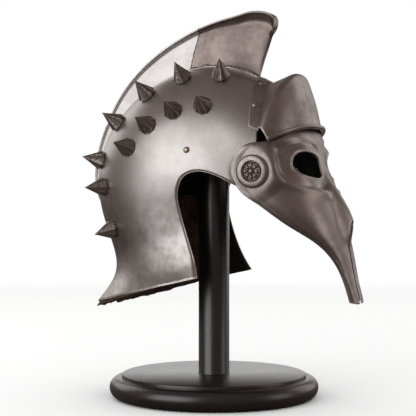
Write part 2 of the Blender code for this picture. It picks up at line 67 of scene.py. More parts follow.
def add_node(tree, kind, inputs=None, **settings):
    """A node with its settings made and its sockets linked or set by name or number."""
    made = tree.nodes.new(kind)
    for key, value in settings.items():
        setattr(made, key, value)
    for key, value in (inputs or {}).items():
        if isinstance(value, bpy.types.NodeSocket):
            tree.links.new(value, made.inputs[key])
        else:
            made.inputs[key].default_value = value
    return made


def new_group(name, inputs, outputs):
    """An empty shader group with named sockets, given as (name, kind, default) and (name, kind)."""
    group = bpy.data.node_groups.new(name, "ShaderNodeTree")
    for label, kind, value in inputs:
        socket = group.interface.new_socket(label, in_out="INPUT", socket_type="NodeSocket" + kind)
        socket.default_value = value
    for label, kind in outputs:
        group.interface.new_socket(label, in_out="OUTPUT", socket_type="NodeSocket" + kind)
    return group, group.nodes.new("NodeGroupInput").outputs, group.nodes.new("NodeGroupOutput").inputs


def use_group(tree, group, inputs):
    return add_node(tree, "ShaderNodeGroup", inputs, node_tree=group).outputs


def add_math(tree, operation, a, b, clamp=False):
    return add_node(tree, "ShaderNodeMath", {0: a, 1: b}, operation=operation, use_clamp=clamp).outputs[0]


def add_range(tree, value, low, high, to_low=0.0, to_high=1.0):
    inputs = {"Value": value, "From Min": low, "From Max": high, "To Min": to_low, "To Max": to_high}
    return add_node(tree, "ShaderNodeMapRange", inputs, interpolation_type="SMOOTHSTEP").outputs["Result"]


def add_mix(tree, share, a, b):
    return add_node(tree, "ShaderNodeMix", {0: share, 6: a, 7: b}, data_type="RGBA").outputs[2]


def add_noise(tree, place, scale, detail, rough=0.5, twist=0.0):
    inputs = {"Vector": place, "Scale": scale, "Detail": detail, "Roughness": rough, "Distortion": twist}
    return add_node(tree, "ShaderNodeTexNoise", inputs).outputs["Fac"]


def surface_place(tree):
    return add_node(tree, "ShaderNodeTexCoord").outputs["Object"]


def blend(group, mask, colours, roughnesses, out):
    """The group's colour and roughness go from the first of each to the second where the mask is full."""
    group.links.new(add_mix(group, mask, *colours), out["Color"])
    first, second = roughnesses
    change = add_math(group, "MULTIPLY", mask, add_math(group, "SUBTRACT", second, first))
    group.links.new(add_math(group, "ADD", first, change), out["Roughness"])


def make_tarnish_group():
    group, given, out = new_group(
        "tarnish clouds",
        [
            ("Clean", "Color", (0.5, 0.5, 0.5, 1.0)),
            ("Tarnish", "Color", (0.2, 0.2, 0.2, 1.0)),
            ("Cloud Scale", "Float", 14.0),
            ("Amount", "Float", 0.5),
            ("Smooth", "Float", 0.3),
            ("Rough", "Float", 0.5),
        ],
        [("Color", "Color"), ("Roughness", "Float")],
    )
    place = surface_place(group)
    clouds = add_noise(group, place, given["Cloud Scale"], 4.0, 0.58, 0.6)
    mottle_scale = add_math(group, "MULTIPLY", given["Cloud Scale"], MOTTLE_FINENESS)
    mottle = add_math(group, "MULTIPLY", add_noise(group, place, mottle_scale, 3.0, 0.6), MOTTLE_SHARE)
    both = add_math(group, "ADD", add_math(group, "MULTIPLY", clouds, 1.0 - MOTTLE_SHARE), mottle)
    mask = add_math(group, "MULTIPLY", add_range(group, both, *CLOUD_EDGE), given["Amount"], clamp=True)
    blend(group, mask, (given["Clean"], given["Tarnish"]), (given["Smooth"], given["Rough"]), out)
    return group


def make_worn_edge_group():
    group, given, out = new_group(
        "worn edge",
        [
            ("Color", "Color", (0.4, 0.4, 0.4, 1.0)),
            ("Bright", "Color", (0.8, 0.8, 0.8, 1.0)),
            ("Roughness", "Float", 0.4),
            ("Bright Roughness", "Float", 0.25),
            ("Edge", "Float", 1.0),
            ("Width", "Float", 0.002),
            ("Amount", "Float", 1.0),
        ],
        [("Color", "Color"), ("Roughness", "Float")],
    )
    ragged = add_noise(group, surface_place(group), WEAR_SCALE, 3.0, 0.6)
    reach = add_math(group, "MULTIPLY", given["Width"], add_range(group, ragged, 0.3, 0.7, *WEAR_REACH))
    near = add_math(group, "DIVIDE", given["Edge"], reach)
    worn = add_range(group, near, *WEAR_FADE, 1.0, 0.0)
    mask = add_math(group, "MULTIPLY", worn, given["Amount"], clamp=True)
    roughnesses = (given["Roughness"], given["Bright Roughness"])
    blend(group, mask, (given["Color"], given["Bright"]), roughnesses, out)
    return group


def make_forging_group():
    group, given, out = new_group(
        "forging marks",
        [("Dent Scale", "Float", 60.0), ("Dents", "Float", 0.5), ("Grain", "Float", 0.3)],
        [("Height", "Float")],
    )
    place = surface_place(group)
    inputs = {"Vector": place, "Scale": given["Dent Scale"], "Smoothness": 0.8}
    dents = add_node(group, "ShaderNodeTexVoronoi", inputs, feature="SMOOTH_F1").outputs["Distance"]
    waves = add_noise(group, place, add_math(group, "MULTIPLY", given["Dent Scale"], WAVE_COARSENESS), 2.0)
    grain = add_noise(group, place, GRAIN_SCALE, 4.0, 0.7)
    hammered = add_math(group, "MULTIPLY", add_math(group, "ADD", dents, waves), given["Dents"])
    fine = add_math(group, "MULTIPLY", grain, add_math(group, "MULTIPLY", given["Grain"], GRAIN_DEPTH))
    group.links.new(add_math(group, "ADD", hammered, fine), out["Height"])
    return group


tarnish_clouds = make_tarnish_group()
worn_edge = make_worn_edge_group()
forging_marks = make_forging_group()


def new_material(name):
    material = bpy.data.materials.new(name)
    material.use_nodes = True
    tree = material.node_tree
    return material, tree, tree.nodes["Principled BSDF"]


def add_clouds(tree, clean, tarnish, clouds, amount, smooth, rough):
    """The colour and roughness of a surface with clouds of tarnish."""
    inputs = {"Clean": (*clean, 1.0), "Tarnish": (*tarnish, 1.0), "Cloud Scale": clouds, "Amount": amount}
    return use_group(tree, tarnish_clouds, {**inputs, "Smooth": smooth, "Rough": rough})


def link_finish(tree, shader, surface, height, depth):
    """Gives the shader a surface's colour and roughness, and a bump as deep as depth."""
    tree.links.new(surface["Color"], shader.inputs["Base Color"])
    tree.links.new(surface["Roughness"], shader.inputs["Roughness"])
    bump = add_node(tree, "ShaderNodeBump", {"Height": height, "Distance": depth})
    tree.links.new(bump.outputs["Normal"], shader.inputs["Normal"])


def make_steel(name, clean, tarnish, bright, darker_below=None, **changes):
    """A steel from its clean, tarnished and rubbed bright colours and its changes to the aged finish.
    The optional heights give a low height, a high height and the amount of cloud left above the high one:
    the tarnish thins upwards, so the steel is darker towards the bottom, partly its own mottling and partly
    painted shade."""
    material, tree, shader = new_material(name)
    finish = {**AGED, **changes}
    smooth, amount = finish["smooth"], finish["amount"]
    # Fuller tarnish low down: the lower neck guard's mottling, and painted shade that darkens it.
    if darker_below:
        low, high, least = darker_below
        height = add_node(tree, "ShaderNodeSeparateXYZ", {0: surface_place(tree)}).outputs["Z"]
        amount = add_range(tree, height, low, high, amount, least)
    surface = add_clouds(tree, clean, tarnish, finish["clouds"], amount, smooth, finish["rough"])
    edge = add_node(tree, "ShaderNodeAttribute", attribute_name="edge").outputs["Fac"]
    inputs = {"Color": surface["Color"], "Bright": (*bright, 1.0), "Roughness": surface["Roughness"]}
    inputs |= {"Bright Roughness": smooth, "Edge": edge, "Width": finish["edge"], "Amount": WEAR_AMOUNT}
    worn = use_group(tree, worn_edge, inputs)
    inputs = {"Dent Scale": finish["dents"], "Dents": DENT_AMOUNT, "Grain": finish["grain"]}
    marks = use_group(tree, forging_marks, inputs)
    link_finish(tree, shader, worn, marks["Height"], finish["depth"])
    shader.inputs["Metallic"].default_value = 1.0
    return material


# The tarnish is full on the neck guard and thin on the crown: mottling on the guard, and painted shade that
# makes it darker below the ears.
aged_steel = make_steel(
    "aged steel", (0.67, 0.65, 0.64), (0.29, 0.265, 0.25), (0.84, 0.82, 0.80), darker_below=(0.215, 0.290, 0.22),
    amount=0.85,
)


# Skull
# One sheet, raised over a stake into the crown and the flared neck guard, with the ears cut out. Its
# cut edge is dressed smooth, and the inside is blackened.
EAR_LEVEL = 0.290
SKULL_FRONT = 0.082
SKULL_LENGTH = 0.240
CROWN_HEIGHT = 0.136
GUARD_DROP = 0.170
SKULL_HALF_WIDTH = 0.088
SKULL_SKIN = 0.0020
PIVOT_AHEAD = 0.003
PIVOT_X = SKULL_FRONT + PIVOT_AHEAD
WAVE_SCALE, WAVE_DEPTH = 22.0, 0.00035
KNOCK_SCALE, KNOCK_DEPTH = 38.0, 0.0010
KNOCK_START, KNOCK_FADE = 0.62, 0.3
SKULL_HUB = 0.079
SKULL_HUB_RADIUS = 0.016
SKULL_HUB_BLEND = 0.018
SKULL_GRID = (150, 132)
EDGE_BEAD = 0.00098
FOLD = math.radians(40.0)
# back, rise, edge back, edge rise, width and fullness of each arch, from the brow to the nape
SKULL_ARCHES = [
    (0.000, 0.809, -0.025, -0.129, 0.880, 2.22),
    (0.133, 0.925, 0.042, -0.118, 0.912, 2.25),
    (0.342, 1.000, 0.133, -0.065, 0.945, 2.20),
    (0.550, 0.930, 0.217, -0.012, 0.972, 2.15),
    (0.745, 0.750, 0.292, 0.007, 0.990, 2.12),
    (0.885, 0.515, 0.342, -0.012, 1.000, 2.10),
    (0.965, 0.270, 0.375, -0.047, 1.000, 2.10),
    (1.000, 0.040, 0.396, -0.106, 0.990, 2.10),
    (1.000, -0.160, 0.404, -0.188, 0.972, 2.10),
    (0.970, -0.345, 0.392, -0.294, 0.950, 2.12),
    (0.920, -0.529, 0.363, -0.441, 0.935, 2.15),
    (0.890, -0.690, 0.333, -0.559, 0.945, 2.20),
    (0.915, -0.845, 0.304, -0.665, 0.995, 2.25),
    (0.995, -1.000, 0.275, -0.765, 1.100, 2.30),
]


def natural_spline(knots, values):
    """Second derivatives of the natural cubic spline through values at knots."""
    count = len(knots)
    matrix = np.eye(count)
    right = np.zeros_like(values)
    for i in range(1, count - 1):
        before, after = knots[i] - knots[i - 1], knots[i + 1] - knots[i]
        matrix[i, i - 1 : i + 2] = before, 2 * (before + after), after
        right[i] = 6 * ((values[i + 1] - values[i]) / after - (values[i] - values[i - 1]) / before)
    return np.linalg.solve(matrix, right)


class Curve:
    """A smooth curve through rows of numbers, read by a share from 0 to 1."""

    def __init__(self, rows, measure):
        self.rows = np.array(rows, float)
        steps = np.linalg.norm(np.diff(self.rows[:, measure], axis=0), axis=1)
        self.knots = np.concatenate([[0.0], np.cumsum(steps)]) / steps.sum()
        self.bend = natural_spline(self.knots, self.rows)

    def at(self, share):
        share = min(max(share, 0.0), 1.0)
        i = min(int(np.searchsorted(self.knots, share, "right")) - 1, len(self.knots) - 2)
        width = self.knots[i + 1] - self.knots[i]
        b = (share - self.knots[i]) / width
        a = 1.0 - b
        bend = ((a**3 - a) * self.bend[i] + (b**3 - b) * self.bend[i + 1]) * width**2 / 6
        return (a * self.rows[i] + b * self.rows[i + 1] + bend).tolist()


class Shell:
    """A sheet lofted through arches, read by along, 0 to 1, and across, -1 (right) to 1 (left)."""

    def __init__(self, arches, shape=None):
        self.curve = Curve(arches, [0, 1, 2, 3])
        self.shape = shape or (lambda p: p)

    def point(self, along, across):
        top_x, top_z, edge_x, edge_z, width, fullness = self.curve.at(along)
        turn = across * math.pi / 2
        y = math.copysign(width * abs(math.sin(turn)) ** (2 / fullness), across)
        lift = max(math.cos(turn), 0.0) ** (2 / fullness)
        return self.shape(Vector((edge_x + (top_x - edge_x) * lift, y, edge_z + (top_z - edge_z) * lift)))

    def normal(self, along, across):
        step = 1e-3
        a, b = min(along + step, 1.0), max(along - step, 0.0)
        run = self.point(a, across) - self.point(b, across)
        reach = min(max(across, -1 + step), 1 - step)
        side = self.point(along, reach + step) - self.point(along, reach - step)
        return side.cross(run).normalized()

    def offset(self, along, across, distance):
        return self.point(along, across) + distance * self.normal(along, across)


def level(share, above, below):
    return EAR_LEVEL + share * (above if share >= 0 else below)


def real_arches(table, start, reach, above, below, half_width):
    """The table's arches in metres: shares of reach along x from start, and up or down from the ears."""
    rows = []
    for ahead, rise, edge_ahead, edge_rise, width, fullness in table:
        top = (start + ahead * reach, level(rise, above, below))
        edge = (start + edge_ahead * reach, level(edge_rise, above, below))
        rows.append((*top, *edge, width * half_width, fullness))
    return rows


def smooth_step(value):
    value = min(max(value, 0.0), 1.0)
    return value * value * (3 - 2 * value)


def flatten_hub(p, half_width, radius, blend):
    """Draws the sheet to a flat round face across the pivot axis."""
    away = math.hypot(p.x - PIVOT_X, p.z - EAR_LEVEL)
    weight = 1.0 - smooth_step((away - radius) / blend)
    if abs(p.y) > half_width / 2:
        p.y += weight * (math.copysign(half_width, p.y) - p.y)
    return p


def shares(count, low=0.0, high=1.0):
    return [low + (high - low) * i / count for i in range(count + 1)]


def edge_distances(rows, sides=(True, True, True)):
    """How far each point of a grid lies from the sheet's first row, last row and two side edges."""
    grid = np.array([[tuple(p) for p in row] for row in rows])
    down = np.linalg.norm(np.diff(grid, axis=0), axis=2)
    over = np.linalg.norm(np.diff(grid, axis=1), axis=2)
    far = np.full(grid.shape[:2], 1.0)
    if sides[0]:
        far[1:] = np.minimum(far[1:], np.cumsum(down, axis=0))
        far[0] = 0.0
    if sides[1]:
        far[:-1] = np.minimum(far[:-1], np.cumsum(down[::-1], axis=0)[::-1])
        far[-1] = 0.0
    if sides[2]:
        far[:, 1:] = np.minimum(far[:, 1:], np.cumsum(over, axis=1))
        far[:, :-1] = np.minimum(far[:, :-1], np.cumsum(over[:, ::-1], axis=1)[:, ::-1])
        far[:, [0, -1]] = 0.0
    return far


def add_mesh(name, verts, faces, materials, edge=None):
    """A mesh object with an edge attribute: how far each vertex is from the nearest worn edge."""
    mesh = bpy.data.meshes.new(name)
    mesh.from_pydata([tuple(v) for v in verts], [], faces)
    for material in materials:
        mesh.materials.append(material)
    values = np.ones(len(verts)) if edge is None else np.asarray(edge, float).ravel()
    mesh.attributes.new("edge", "FLOAT", "POINT").data.foreach_set("value", values.astype(np.float32))
    mesh.shade_smooth()
    mesh.set_sharp_from_angle(angle=FOLD)
    mesh.update()
    obj = bpy.data.objects.new(name, mesh)
    pieces.objects.link(obj)
    return obj


def add_sheet(name, rows, skin, materials, edge, falling=False, turned=0):
    """A sheet of even thickness on a grid of its middle, with an outer and an inner material. The rows of
    a falling sheet run down its front, and the others run back over the crown. The last turned rows show
    the third material outside and the fourth inside."""
    columns = len(rows[0])
    faces = []
    for i in range(len(rows) - 1):
        for j in range(columns - 1):
            corner = i * columns + j
            face = (corner, corner + 1, corner + columns + 1, corner + columns)
            faces.append(face[::-1] if falling else face)
    obj = add_mesh(name, [p for row in rows for p in row], faces, materials, edge)
    for face in obj.data.polygons[len(faces) - turned * (columns - 1) :]:
        face.material_index = 2
    solid = obj.modifiers.new("thickness", "SOLIDIFY")
    solid.thickness = skin
    solid.offset = 0.0
    solid.use_even_offset = True
    solid.material_offset = 1
    solid.material_offset_rim = 0
    return obj


def add_bead(name, points, radius, material, closed=False):
    """A dressed edge: a thin round bead along a line of points."""
    line = bpy.data.curves.new(name, "CURVE")
    line.dimensions = "3D"
    line.bevel_depth = radius
    line.bevel_resolution = 2
    line.use_fill_caps = True
    spline = line.splines.new("POLY")
    spline.points.add(len(points) - 1)
    for knot, p in zip(spline.points, points):
        knot.co = (*p, 1.0)
    spline.use_cyclic_u = closed
    line.materials.append(material)
    obj = bpy.data.objects.new(name, line)
    pieces.objects.link(obj)
    return obj


def hand_raised(p, along):
    """The slow waves that raising leaves, deeper where the neck guard is thin and has been knocked."""
    soft = noise.noise(p * WAVE_SCALE) * WAVE_DEPTH
    knock = noise.noise(p * KNOCK_SCALE + Vector((3.1, 0.0, 0.0))) * KNOCK_DEPTH
    return soft + knock * smooth_step((along - KNOCK_START) / KNOCK_FADE)


skull = Shell(
    real_arches(SKULL_ARCHES, SKULL_FRONT, -SKULL_LENGTH, CROWN_HEIGHT, GUARD_DROP, SKULL_HALF_WIDTH),
    lambda p: flatten_hub(p, SKULL_HUB, SKULL_HUB_RADIUS, SKULL_HUB_BLEND),
)
blackened, _, black_shader = new_material("blackened inside")
black_shader.inputs["Base Color"].default_value = (0.012, 0.011, 0.010, 1.0)
black_shader.inputs["Roughness"].default_value = 0.62

grid = []
for along in shares(SKULL_GRID[0]):
    line = []
    for across in shares(SKULL_GRID[1], -1.0, 1.0):
        p = skull.point(along, across)
        line.append(p + hand_raised(p, along) * skull.normal(along, across))
    grid.append(line)
skull_piece = add_sheet(
    "skull_plate", grid, SKULL_SKIN, [aged_steel, blackened], edge_distances(grid, (False, True, True))
)
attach(skull_piece, "helmet")
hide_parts("skull")
rim_line = [row[0] for row in grid] + grid[-1][1:-1] + [row[-1] for row in reversed(grid)]
bright_edge = make_steel(
    "dressed edge", (0.80, 0.77, 0.75), (0.55, 0.50, 0.47), (0.95, 0.93, 0.92), smooth=0.24
)
skull_bead = add_bead("skull_edge", rim_line, EDGE_BEAD, bright_edge)
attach(skull_bead, "helmet")


# Neck lining
# Dark leather glued inside the neck guard. It was cut long and never trimmed, so a ragged dark brown
# edge hangs a few millimetres below the steel at the nape.
LINING_SKIN = 0.0016
LINING_GAP = 0.0005
LINING_START, LINING_END = 0.66, 0.995
LINING_SPAN = 0.92
LINING_HANG = 0.0085
HANG_SPAN = 0.80
HANG_INWARD = 0.0006
TATTER_SCALE, TATTER_SHARE = 75.0, 0.35
FRAY_SCALE, FRAY_SHARE = 420.0, 0.12
PORE_SCALE, PORE_DEPTH = 420.0, 0.0006
LINING_GRID = (46, 132)
HANG_ROWS = 7


def make_leather():
    material, tree, shader = new_material("ragged leather")
    surface = add_clouds(tree, (0.115, 0.060, 0.038), (0.030, 0.017, 0.012), 40.0, 0.9, 0.62, 0.9)
    inputs = {"Vector": surface_place(tree), "Scale": PORE_SCALE}
    pores = add_node(tree, "ShaderNodeTexVoronoi", inputs, feature="DISTANCE_TO_EDGE").outputs["Distance"]
    link_finish(tree, shader, surface, pores, PORE_DEPTH)
    return material


inside = -(SKULL_SKIN / 2 + LINING_GAP + LINING_SKIN / 2)
grid = []
for along in shares(LINING_GRID[0], LINING_START, LINING_END):
    line = []
    for across in shares(LINING_GRID[1], -LINING_SPAN, LINING_SPAN):
        p = skull.offset(along, across, inside)
        line.append(p + hand_raised(p, along) * skull.normal(along, across))
    grid.append(line)
last, before = grid[-1], grid[-3]
for i in range(1, HANG_ROWS + 1):
    line = []
    for j, across in enumerate(shares(LINING_GRID[1], -LINING_SPAN, LINING_SPAN)):
        down = (last[j] - before[j]).normalized()
        tatter = noise.fractal(last[j] * TATTER_SCALE, 0.6, 2.2, 4) * TATTER_SHARE
        tatter += noise.noise(last[j] * FRAY_SCALE) * FRAY_SHARE
        hang = LINING_HANG * max(1.0 - abs(across / HANG_SPAN) ** 3.0, 0.02) * (0.85 + tatter)
        inward = -HANG_INWARD * i / HANG_ROWS
        line.append(last[j] + down * hang * i / HANG_ROWS + inward * skull.normal(1.0, across))
    grid.append(line)
leather = make_leather()
lining_piece = add_sheet("neck_leather", grid, LINING_SKIN, [leather, leather], edge_distances(grid))
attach(lining_piece, "helmet")
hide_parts("neck_lining")


# Crest
# A fin of bright sheet steel with a foot strip that follows the skull and a flared top rim. Its front
# third is a darker casting, butted to the blade, with a blunt rounded prow.
CREST_RISE = 0.080
CREST_WEB = 0.0036
CREST_FOOT_HALF = 0.0085
CREST_FOOT_SKIN = 0.0016
CREST_RIM_HALF = 0.0095
CREST_RIM_HEIGHT = 0.015
CREST_RIM_EDGE = 0.0022
CREST_SEAM = 0.0007
CREST_SWELL = 0.0024
PROW_JOINT = 0.240
JOINT_GAP = 0.0006
SEAT_GAP = 0.0003
BLADE_RINGS, PROW_RINGS = 110, 70
WEB_STEPS = 12
FLARE_STEPS = 9
BLADE_FLARE = 3.6
PROW_FLARE = 1.9
FOOT_ROUND = 0.0012
RIM_ROUND = 0.0006
FOOT_COLUMN = 4
TAIL_RINGS = 12
TAIL_LUMPS, TAIL_SCALE = 0.0016, 210.0
WELD_RADIUS, WELD_STRAY = 0.0008, 0.0012
WELD_POINTS = 64
RIDGE_RADIUS, RIDGE_STRAY = 0.0014, 0.0022
# foot, rise, lean and rim of each station, from the nape to the brow
CREST_STATIONS = [
    (0.700, 0.035, 0.025, 0.25),
    (0.650, 0.124, 0.045, 0.32),
    (0.550, 0.161, 0.099, 0.44),
    (0.450, 0.275, 0.179, 0.56),
    (0.350, 0.432, 0.256, 0.68),
    (0.250, 0.598, 0.348, 0.80),
    (0.150, 0.844, 0.224, 0.94),
    (0.100, 0.984, 0.076, 1.00),
    (0.070, 1.000, -0.006, 1.00),
    (0.055, 0.924, -0.046, 0.96),
    (0.045, 0.731, -0.120, 0.86),
]


def crest_profile(height, rim, swell, flare):
    """Half of the fin's section from foot to top, as (half width, height, distance to a worn edge)."""
    foot_skin = min(CREST_FOOT_SKIN, 0.3 * height)
    rim_half = max(CREST_WEB / 2, rim * CREST_RIM_HALF)
    rim_low = height - min(CREST_RIM_HEIGHT * rim, 0.5 * height)
    rim_high = height - min(CREST_RIM_EDGE, 0.2 * height)
    half = [(CREST_WEB / 2 + FOOT_ROUND, foot_skin, 0.02), (CREST_WEB / 2, foot_skin + FOOT_ROUND, 0.02)]
    for share in shares(WEB_STEPS)[1:-1]:
        y = CREST_WEB / 2 + swell * CREST_SWELL * math.sin(math.pi * share) ** 0.8
        half.append((y, foot_skin + (rim_low - foot_skin) * share, 0.03))
    half.append((CREST_WEB / 2, rim_low - min(CREST_SEAM, 0.2 * rim_low), 0.03))
    for share in shares(FLARE_STEPS):
        y = CREST_WEB / 2 + (rim_half - CREST_WEB / 2) * share**flare
        half.append((y, rim_low + (rim_high - rim_low) * share, 0.012 * (1.0 - share)))
    half.append((rim_half * 0.97, height - RIM_ROUND, 0.0))
    half.append((rim_half * 0.86, height, 0.001))
    half.append((rim_half * 0.45, height + 0.0001, 0.006))
    return half


def crest_ring(share, swell=0.0, flare=BLADE_FLARE):
    """The fin's section at a share of its length, as (point, distance to a worn edge) round it."""
    foot, rise, lean, rim = stations.at(share)
    gap = SKULL_SKIN / 2 + SEAT_GAP
    base = skull.offset(foot, 0.0, gap)
    out = skull.normal(foot, 0.0)
    ahead = Vector((out.z, 0.0, -out.x))
    reach = CREST_RISE * (rise * out + lean * ahead)
    width, fullness = skull.curve.at(foot)[4:6]
    across = math.asin((CREST_FOOT_HALF / width) ** (fullness / 2)) * 2 / math.pi
    foot_skin = min(CREST_FOOT_SKIN, 0.3 * reach.length)
    half = [
        (skull.offset(foot, across, gap), 0.0),
        (skull.offset(foot, across, gap + foot_skin * 0.7), 0.0),
        (skull.offset(foot, across * 0.93, gap + foot_skin), 0.001),
    ]
    for y, height, edge in crest_profile(reach.length, rim, swell, flare):
        half.append((base + reach * (height / reach.length) + Vector((0.0, y, 0.0)), edge))
    mirrored = [(Vector((p.x, -p.y, p.z)), edge) for p, edge in reversed(half)]
    return [(base, 0.02)] + half + mirrored


def ring_faces(rings, around, first=0):
    """The faces between rings of points that follow each other, facing out where the rings turn left."""
    faces = []
    for i in range(rings - 1):
        for k in range(around):
            a, b = first + i * around + k, first + i * around + (k + 1) % around
            faces.append((a, b, b + around, a + around))
    return faces


def loft_rings(name, rings, materials, rough_rings=0):
    """A closed loft. The column above its foot takes the second material, a dark strip of painted shade in
    the crease where the web rises from its foot strip, and the first rough rings the third."""
    count = len(rings[0])
    sides = ring_faces(len(rings), count)
    ends = [tuple(range(count)), tuple((len(rings) - 1) * count + j for j in range(count - 1, -1, -1))]
    verts = [p for ring in rings for p, _ in ring]
    edge = [distance for ring in rings for _, distance in ring]
    obj = add_mesh(name, verts, sides + ends, materials, edge)
    shaded_columns = (FOOT_COLUMN, count - 1 - FOOT_COLUMN)
    for i, face in enumerate(obj.data.polygons):
        if i < rough_rings * count:
            face.material_index = 2
        elif i < len(sides) and i % count in shaded_columns:
            face.material_index = 1
    face_outward(obj.data)
    obj.data.set_sharp_from_angle(angle=FOLD)
    return obj


def face_outward(mesh):
    made = bmesh.new()
    made.from_mesh(mesh)
    bmesh.ops.recalc_face_normals(made, faces=made.faces)
    made.to_mesh(mesh)
    made.free()


stations = Curve(CREST_STATIONS, [0, 1, 2])
skull_line = [skull.point(share, 0.0) for share in shares(60)]
skull_run = sum((b - a).length for a, b in zip(skull_line, skull_line[1:]))


def share_at(foot):
    """The share of the crest's length whose foot lies at this share of the skull's centre line."""
    low, high = 0.0, 1.0
    for _ in range(40):
        middle = (low + high) / 2
        low, high = (middle, high) if stations.at(middle)[0] > foot else (low, middle)
    return (low + high) / 2


blade_end = share_at(PROW_JOINT + JOINT_GAP / 2 / skull_run)
prow_start = share_at(PROW_JOINT - JOINT_GAP / 2 / skull_run)
polished_steel = make_steel(
    "polished steel", (0.68, 0.665, 0.66), (0.56, 0.54, 0.53), (0.78, 0.77, 0.76),
    clouds=24.0, amount=0.5, smooth=0.38, rough=0.46, depth=0.0002, edge=0.0006,
)
cast_steel = make_steel(
    "cast steel", (0.34, 0.285, 0.268), (0.22, 0.18, 0.168), (0.60, 0.55, 0.53),
    clouds=18.0, amount=0.7, smooth=0.38, rough=0.50, dents=60.0, depth=0.0004, grain=0.9, edge=0.0012,
)
rough_cast = make_steel(
    "rough casting", (0.30, 0.245, 0.23), (0.17, 0.135, 0.125), (0.40, 0.34, 0.32),
    clouds=120.0, amount=0.9, smooth=0.42, rough=0.60, dents=240.0, depth=0.0006, grain=1.4,
)
# A near-black steel for the strip along the crease above each side of the crest's foot: painted shade where
# the web meets its foot strip.
crease_shade = make_steel(
    "painted crease shade", (0.13, 0.11, 0.105), (0.06, 0.05, 0.045), (0.30, 0.27, 0.26),
    clouds=90.0, smooth=0.5, rough=0.7, edge=0.0004,
)
blade_rings = [crest_ring(share) for share in shares(BLADE_RINGS, 0.0, blade_end)]
for i in range(TAIL_RINGS + 1):
    lumps = TAIL_LUMPS * (1.0 - i / TAIL_RINGS)
    blade_rings[i] = [(p + lumps * noise.noise_vector(p * TAIL_SCALE), edge) for p, edge in blade_rings[i]]
# The second steel paints shade into the crease above the foot strip.
blade_steels = [polished_steel, crease_shade, cast_steel]
blade_piece = loft_rings("crest_blade_sheet", blade_rings, blade_steels, TAIL_RINGS)
prow_rings = []
for share in shares(PROW_RINGS):
    # hollow beside the joint, then full, and thinner again at the front edge
    swell = smooth_step((share - 0.05) / 0.45) * (1.0 - 0.7 * smooth_step((share - 0.6) / 0.4))
    flare = BLADE_FLARE + (PROW_FLARE - BLADE_FLARE) * smooth_step(share / 0.35)
    prow_rings.append(crest_ring(prow_start + (1.0 - prow_start) * share, swell, flare))
prow_piece = loft_rings("crest_prow_casting", prow_rings, [cast_steel, crease_shade])

# the weld that closes the joint is a thin uneven bead on each side
weld_line = [p for p, _ in crest_ring((blade_end + prow_start) / 2)]
half_count = (len(weld_line) - 1) // 2
weld_sides = {"l": weld_line[FOOT_COLUMN:half_count], "r": weld_line[-half_count + 1 : 1 - FOOT_COLUMN]}
for name, line in weld_sides.items():
    run = Curve([tuple(p) for p in line], [0, 1, 2])
    points = [Vector(run.at(share)) for share in shares(WELD_POINTS)]
    weld = add_bead("crest_weld_" + name, points, WELD_RADIUS, rough_cast)
    for knot in weld.data.splines[0].points:
        here = Vector(knot.co[:3])
        knot.radius = 0.75 + 0.55 * noise.noise(here * 330.0)
        knot.co.x += WELD_STRAY * noise.noise(here * 140.0)
    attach(weld, "helmet")
# a torn ridge of cast metal, left where the prow was run onto its seat
for name, column in (("l", FOOT_COLUMN), ("r", len(weld_line) - FOOT_COLUMN)):
    points = [ring[column][0] for ring in prow_rings[:-1]]
    ridge = add_bead("prow_ridge_" + name, points, RIDGE_RADIUS, rough_cast)
    for knot in ridge.data.splines[0].points:
        here = Vector(knot.co[:3])
        knot.radius = 0.9 + 1.1 * noise.fractal(here * 170.0, 0.6, 2.2, 3)
        knot.co.z += RIDGE_STRAY * noise.noise(here * 260.0)
    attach(ridge, "helmet")
for piece, node, slot in (
    (blade_piece, "crest_blade", "polished_steel"),
    (prow_piece, "crest_prow", "cast_steel"),
):
    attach(piece, "helmet")
    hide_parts(node)


# Brow plate
# A raised frontlet, riveted over the front edge of the skull. It steps forward to a lip and falls to
# the brow line, and its lower edge is turned to a bead.
BROW_SKIN = 0.0020
BROW_REACH = 0.052
BROW_OVERLAP = 0.035
BROW_HALF_WIDTH = 0.098
BROW_SPAN = 0.667
BROW_GAP = 0.0005
BROW_COLUMNS = 96
BAND_ROWS, RISE_ROWS, FALL_ROWS = 6, 14, 34
CREASE = 0.0045
CREASE_ROWS = 5
ROLL_RADIUS = 0.0026
ROLL_ROWS = 9
ROLL_TURN = math.radians(205.0)
# ahead, rise, edge ahead, edge rise, width and fullness of the lip, the middle and the brow line
BROW_ARCHES = [
    (0.692, 0.912, -0.420, -0.215, 0.990, 2.40),
    (0.885, 0.691, -0.420, -0.083, 1.000, 2.42),
    (1.040, 0.420, -0.460, 0.118, 0.990, 2.45),
]


hood = Shell(real_arches(BROW_ARCHES, SKULL_FRONT, BROW_REACH, CROWN_HEIGHT, GUARD_DROP, BROW_HALF_WIDTH))
outside = SKULL_SKIN / 2 + BROW_GAP + BROW_SKIN / 2


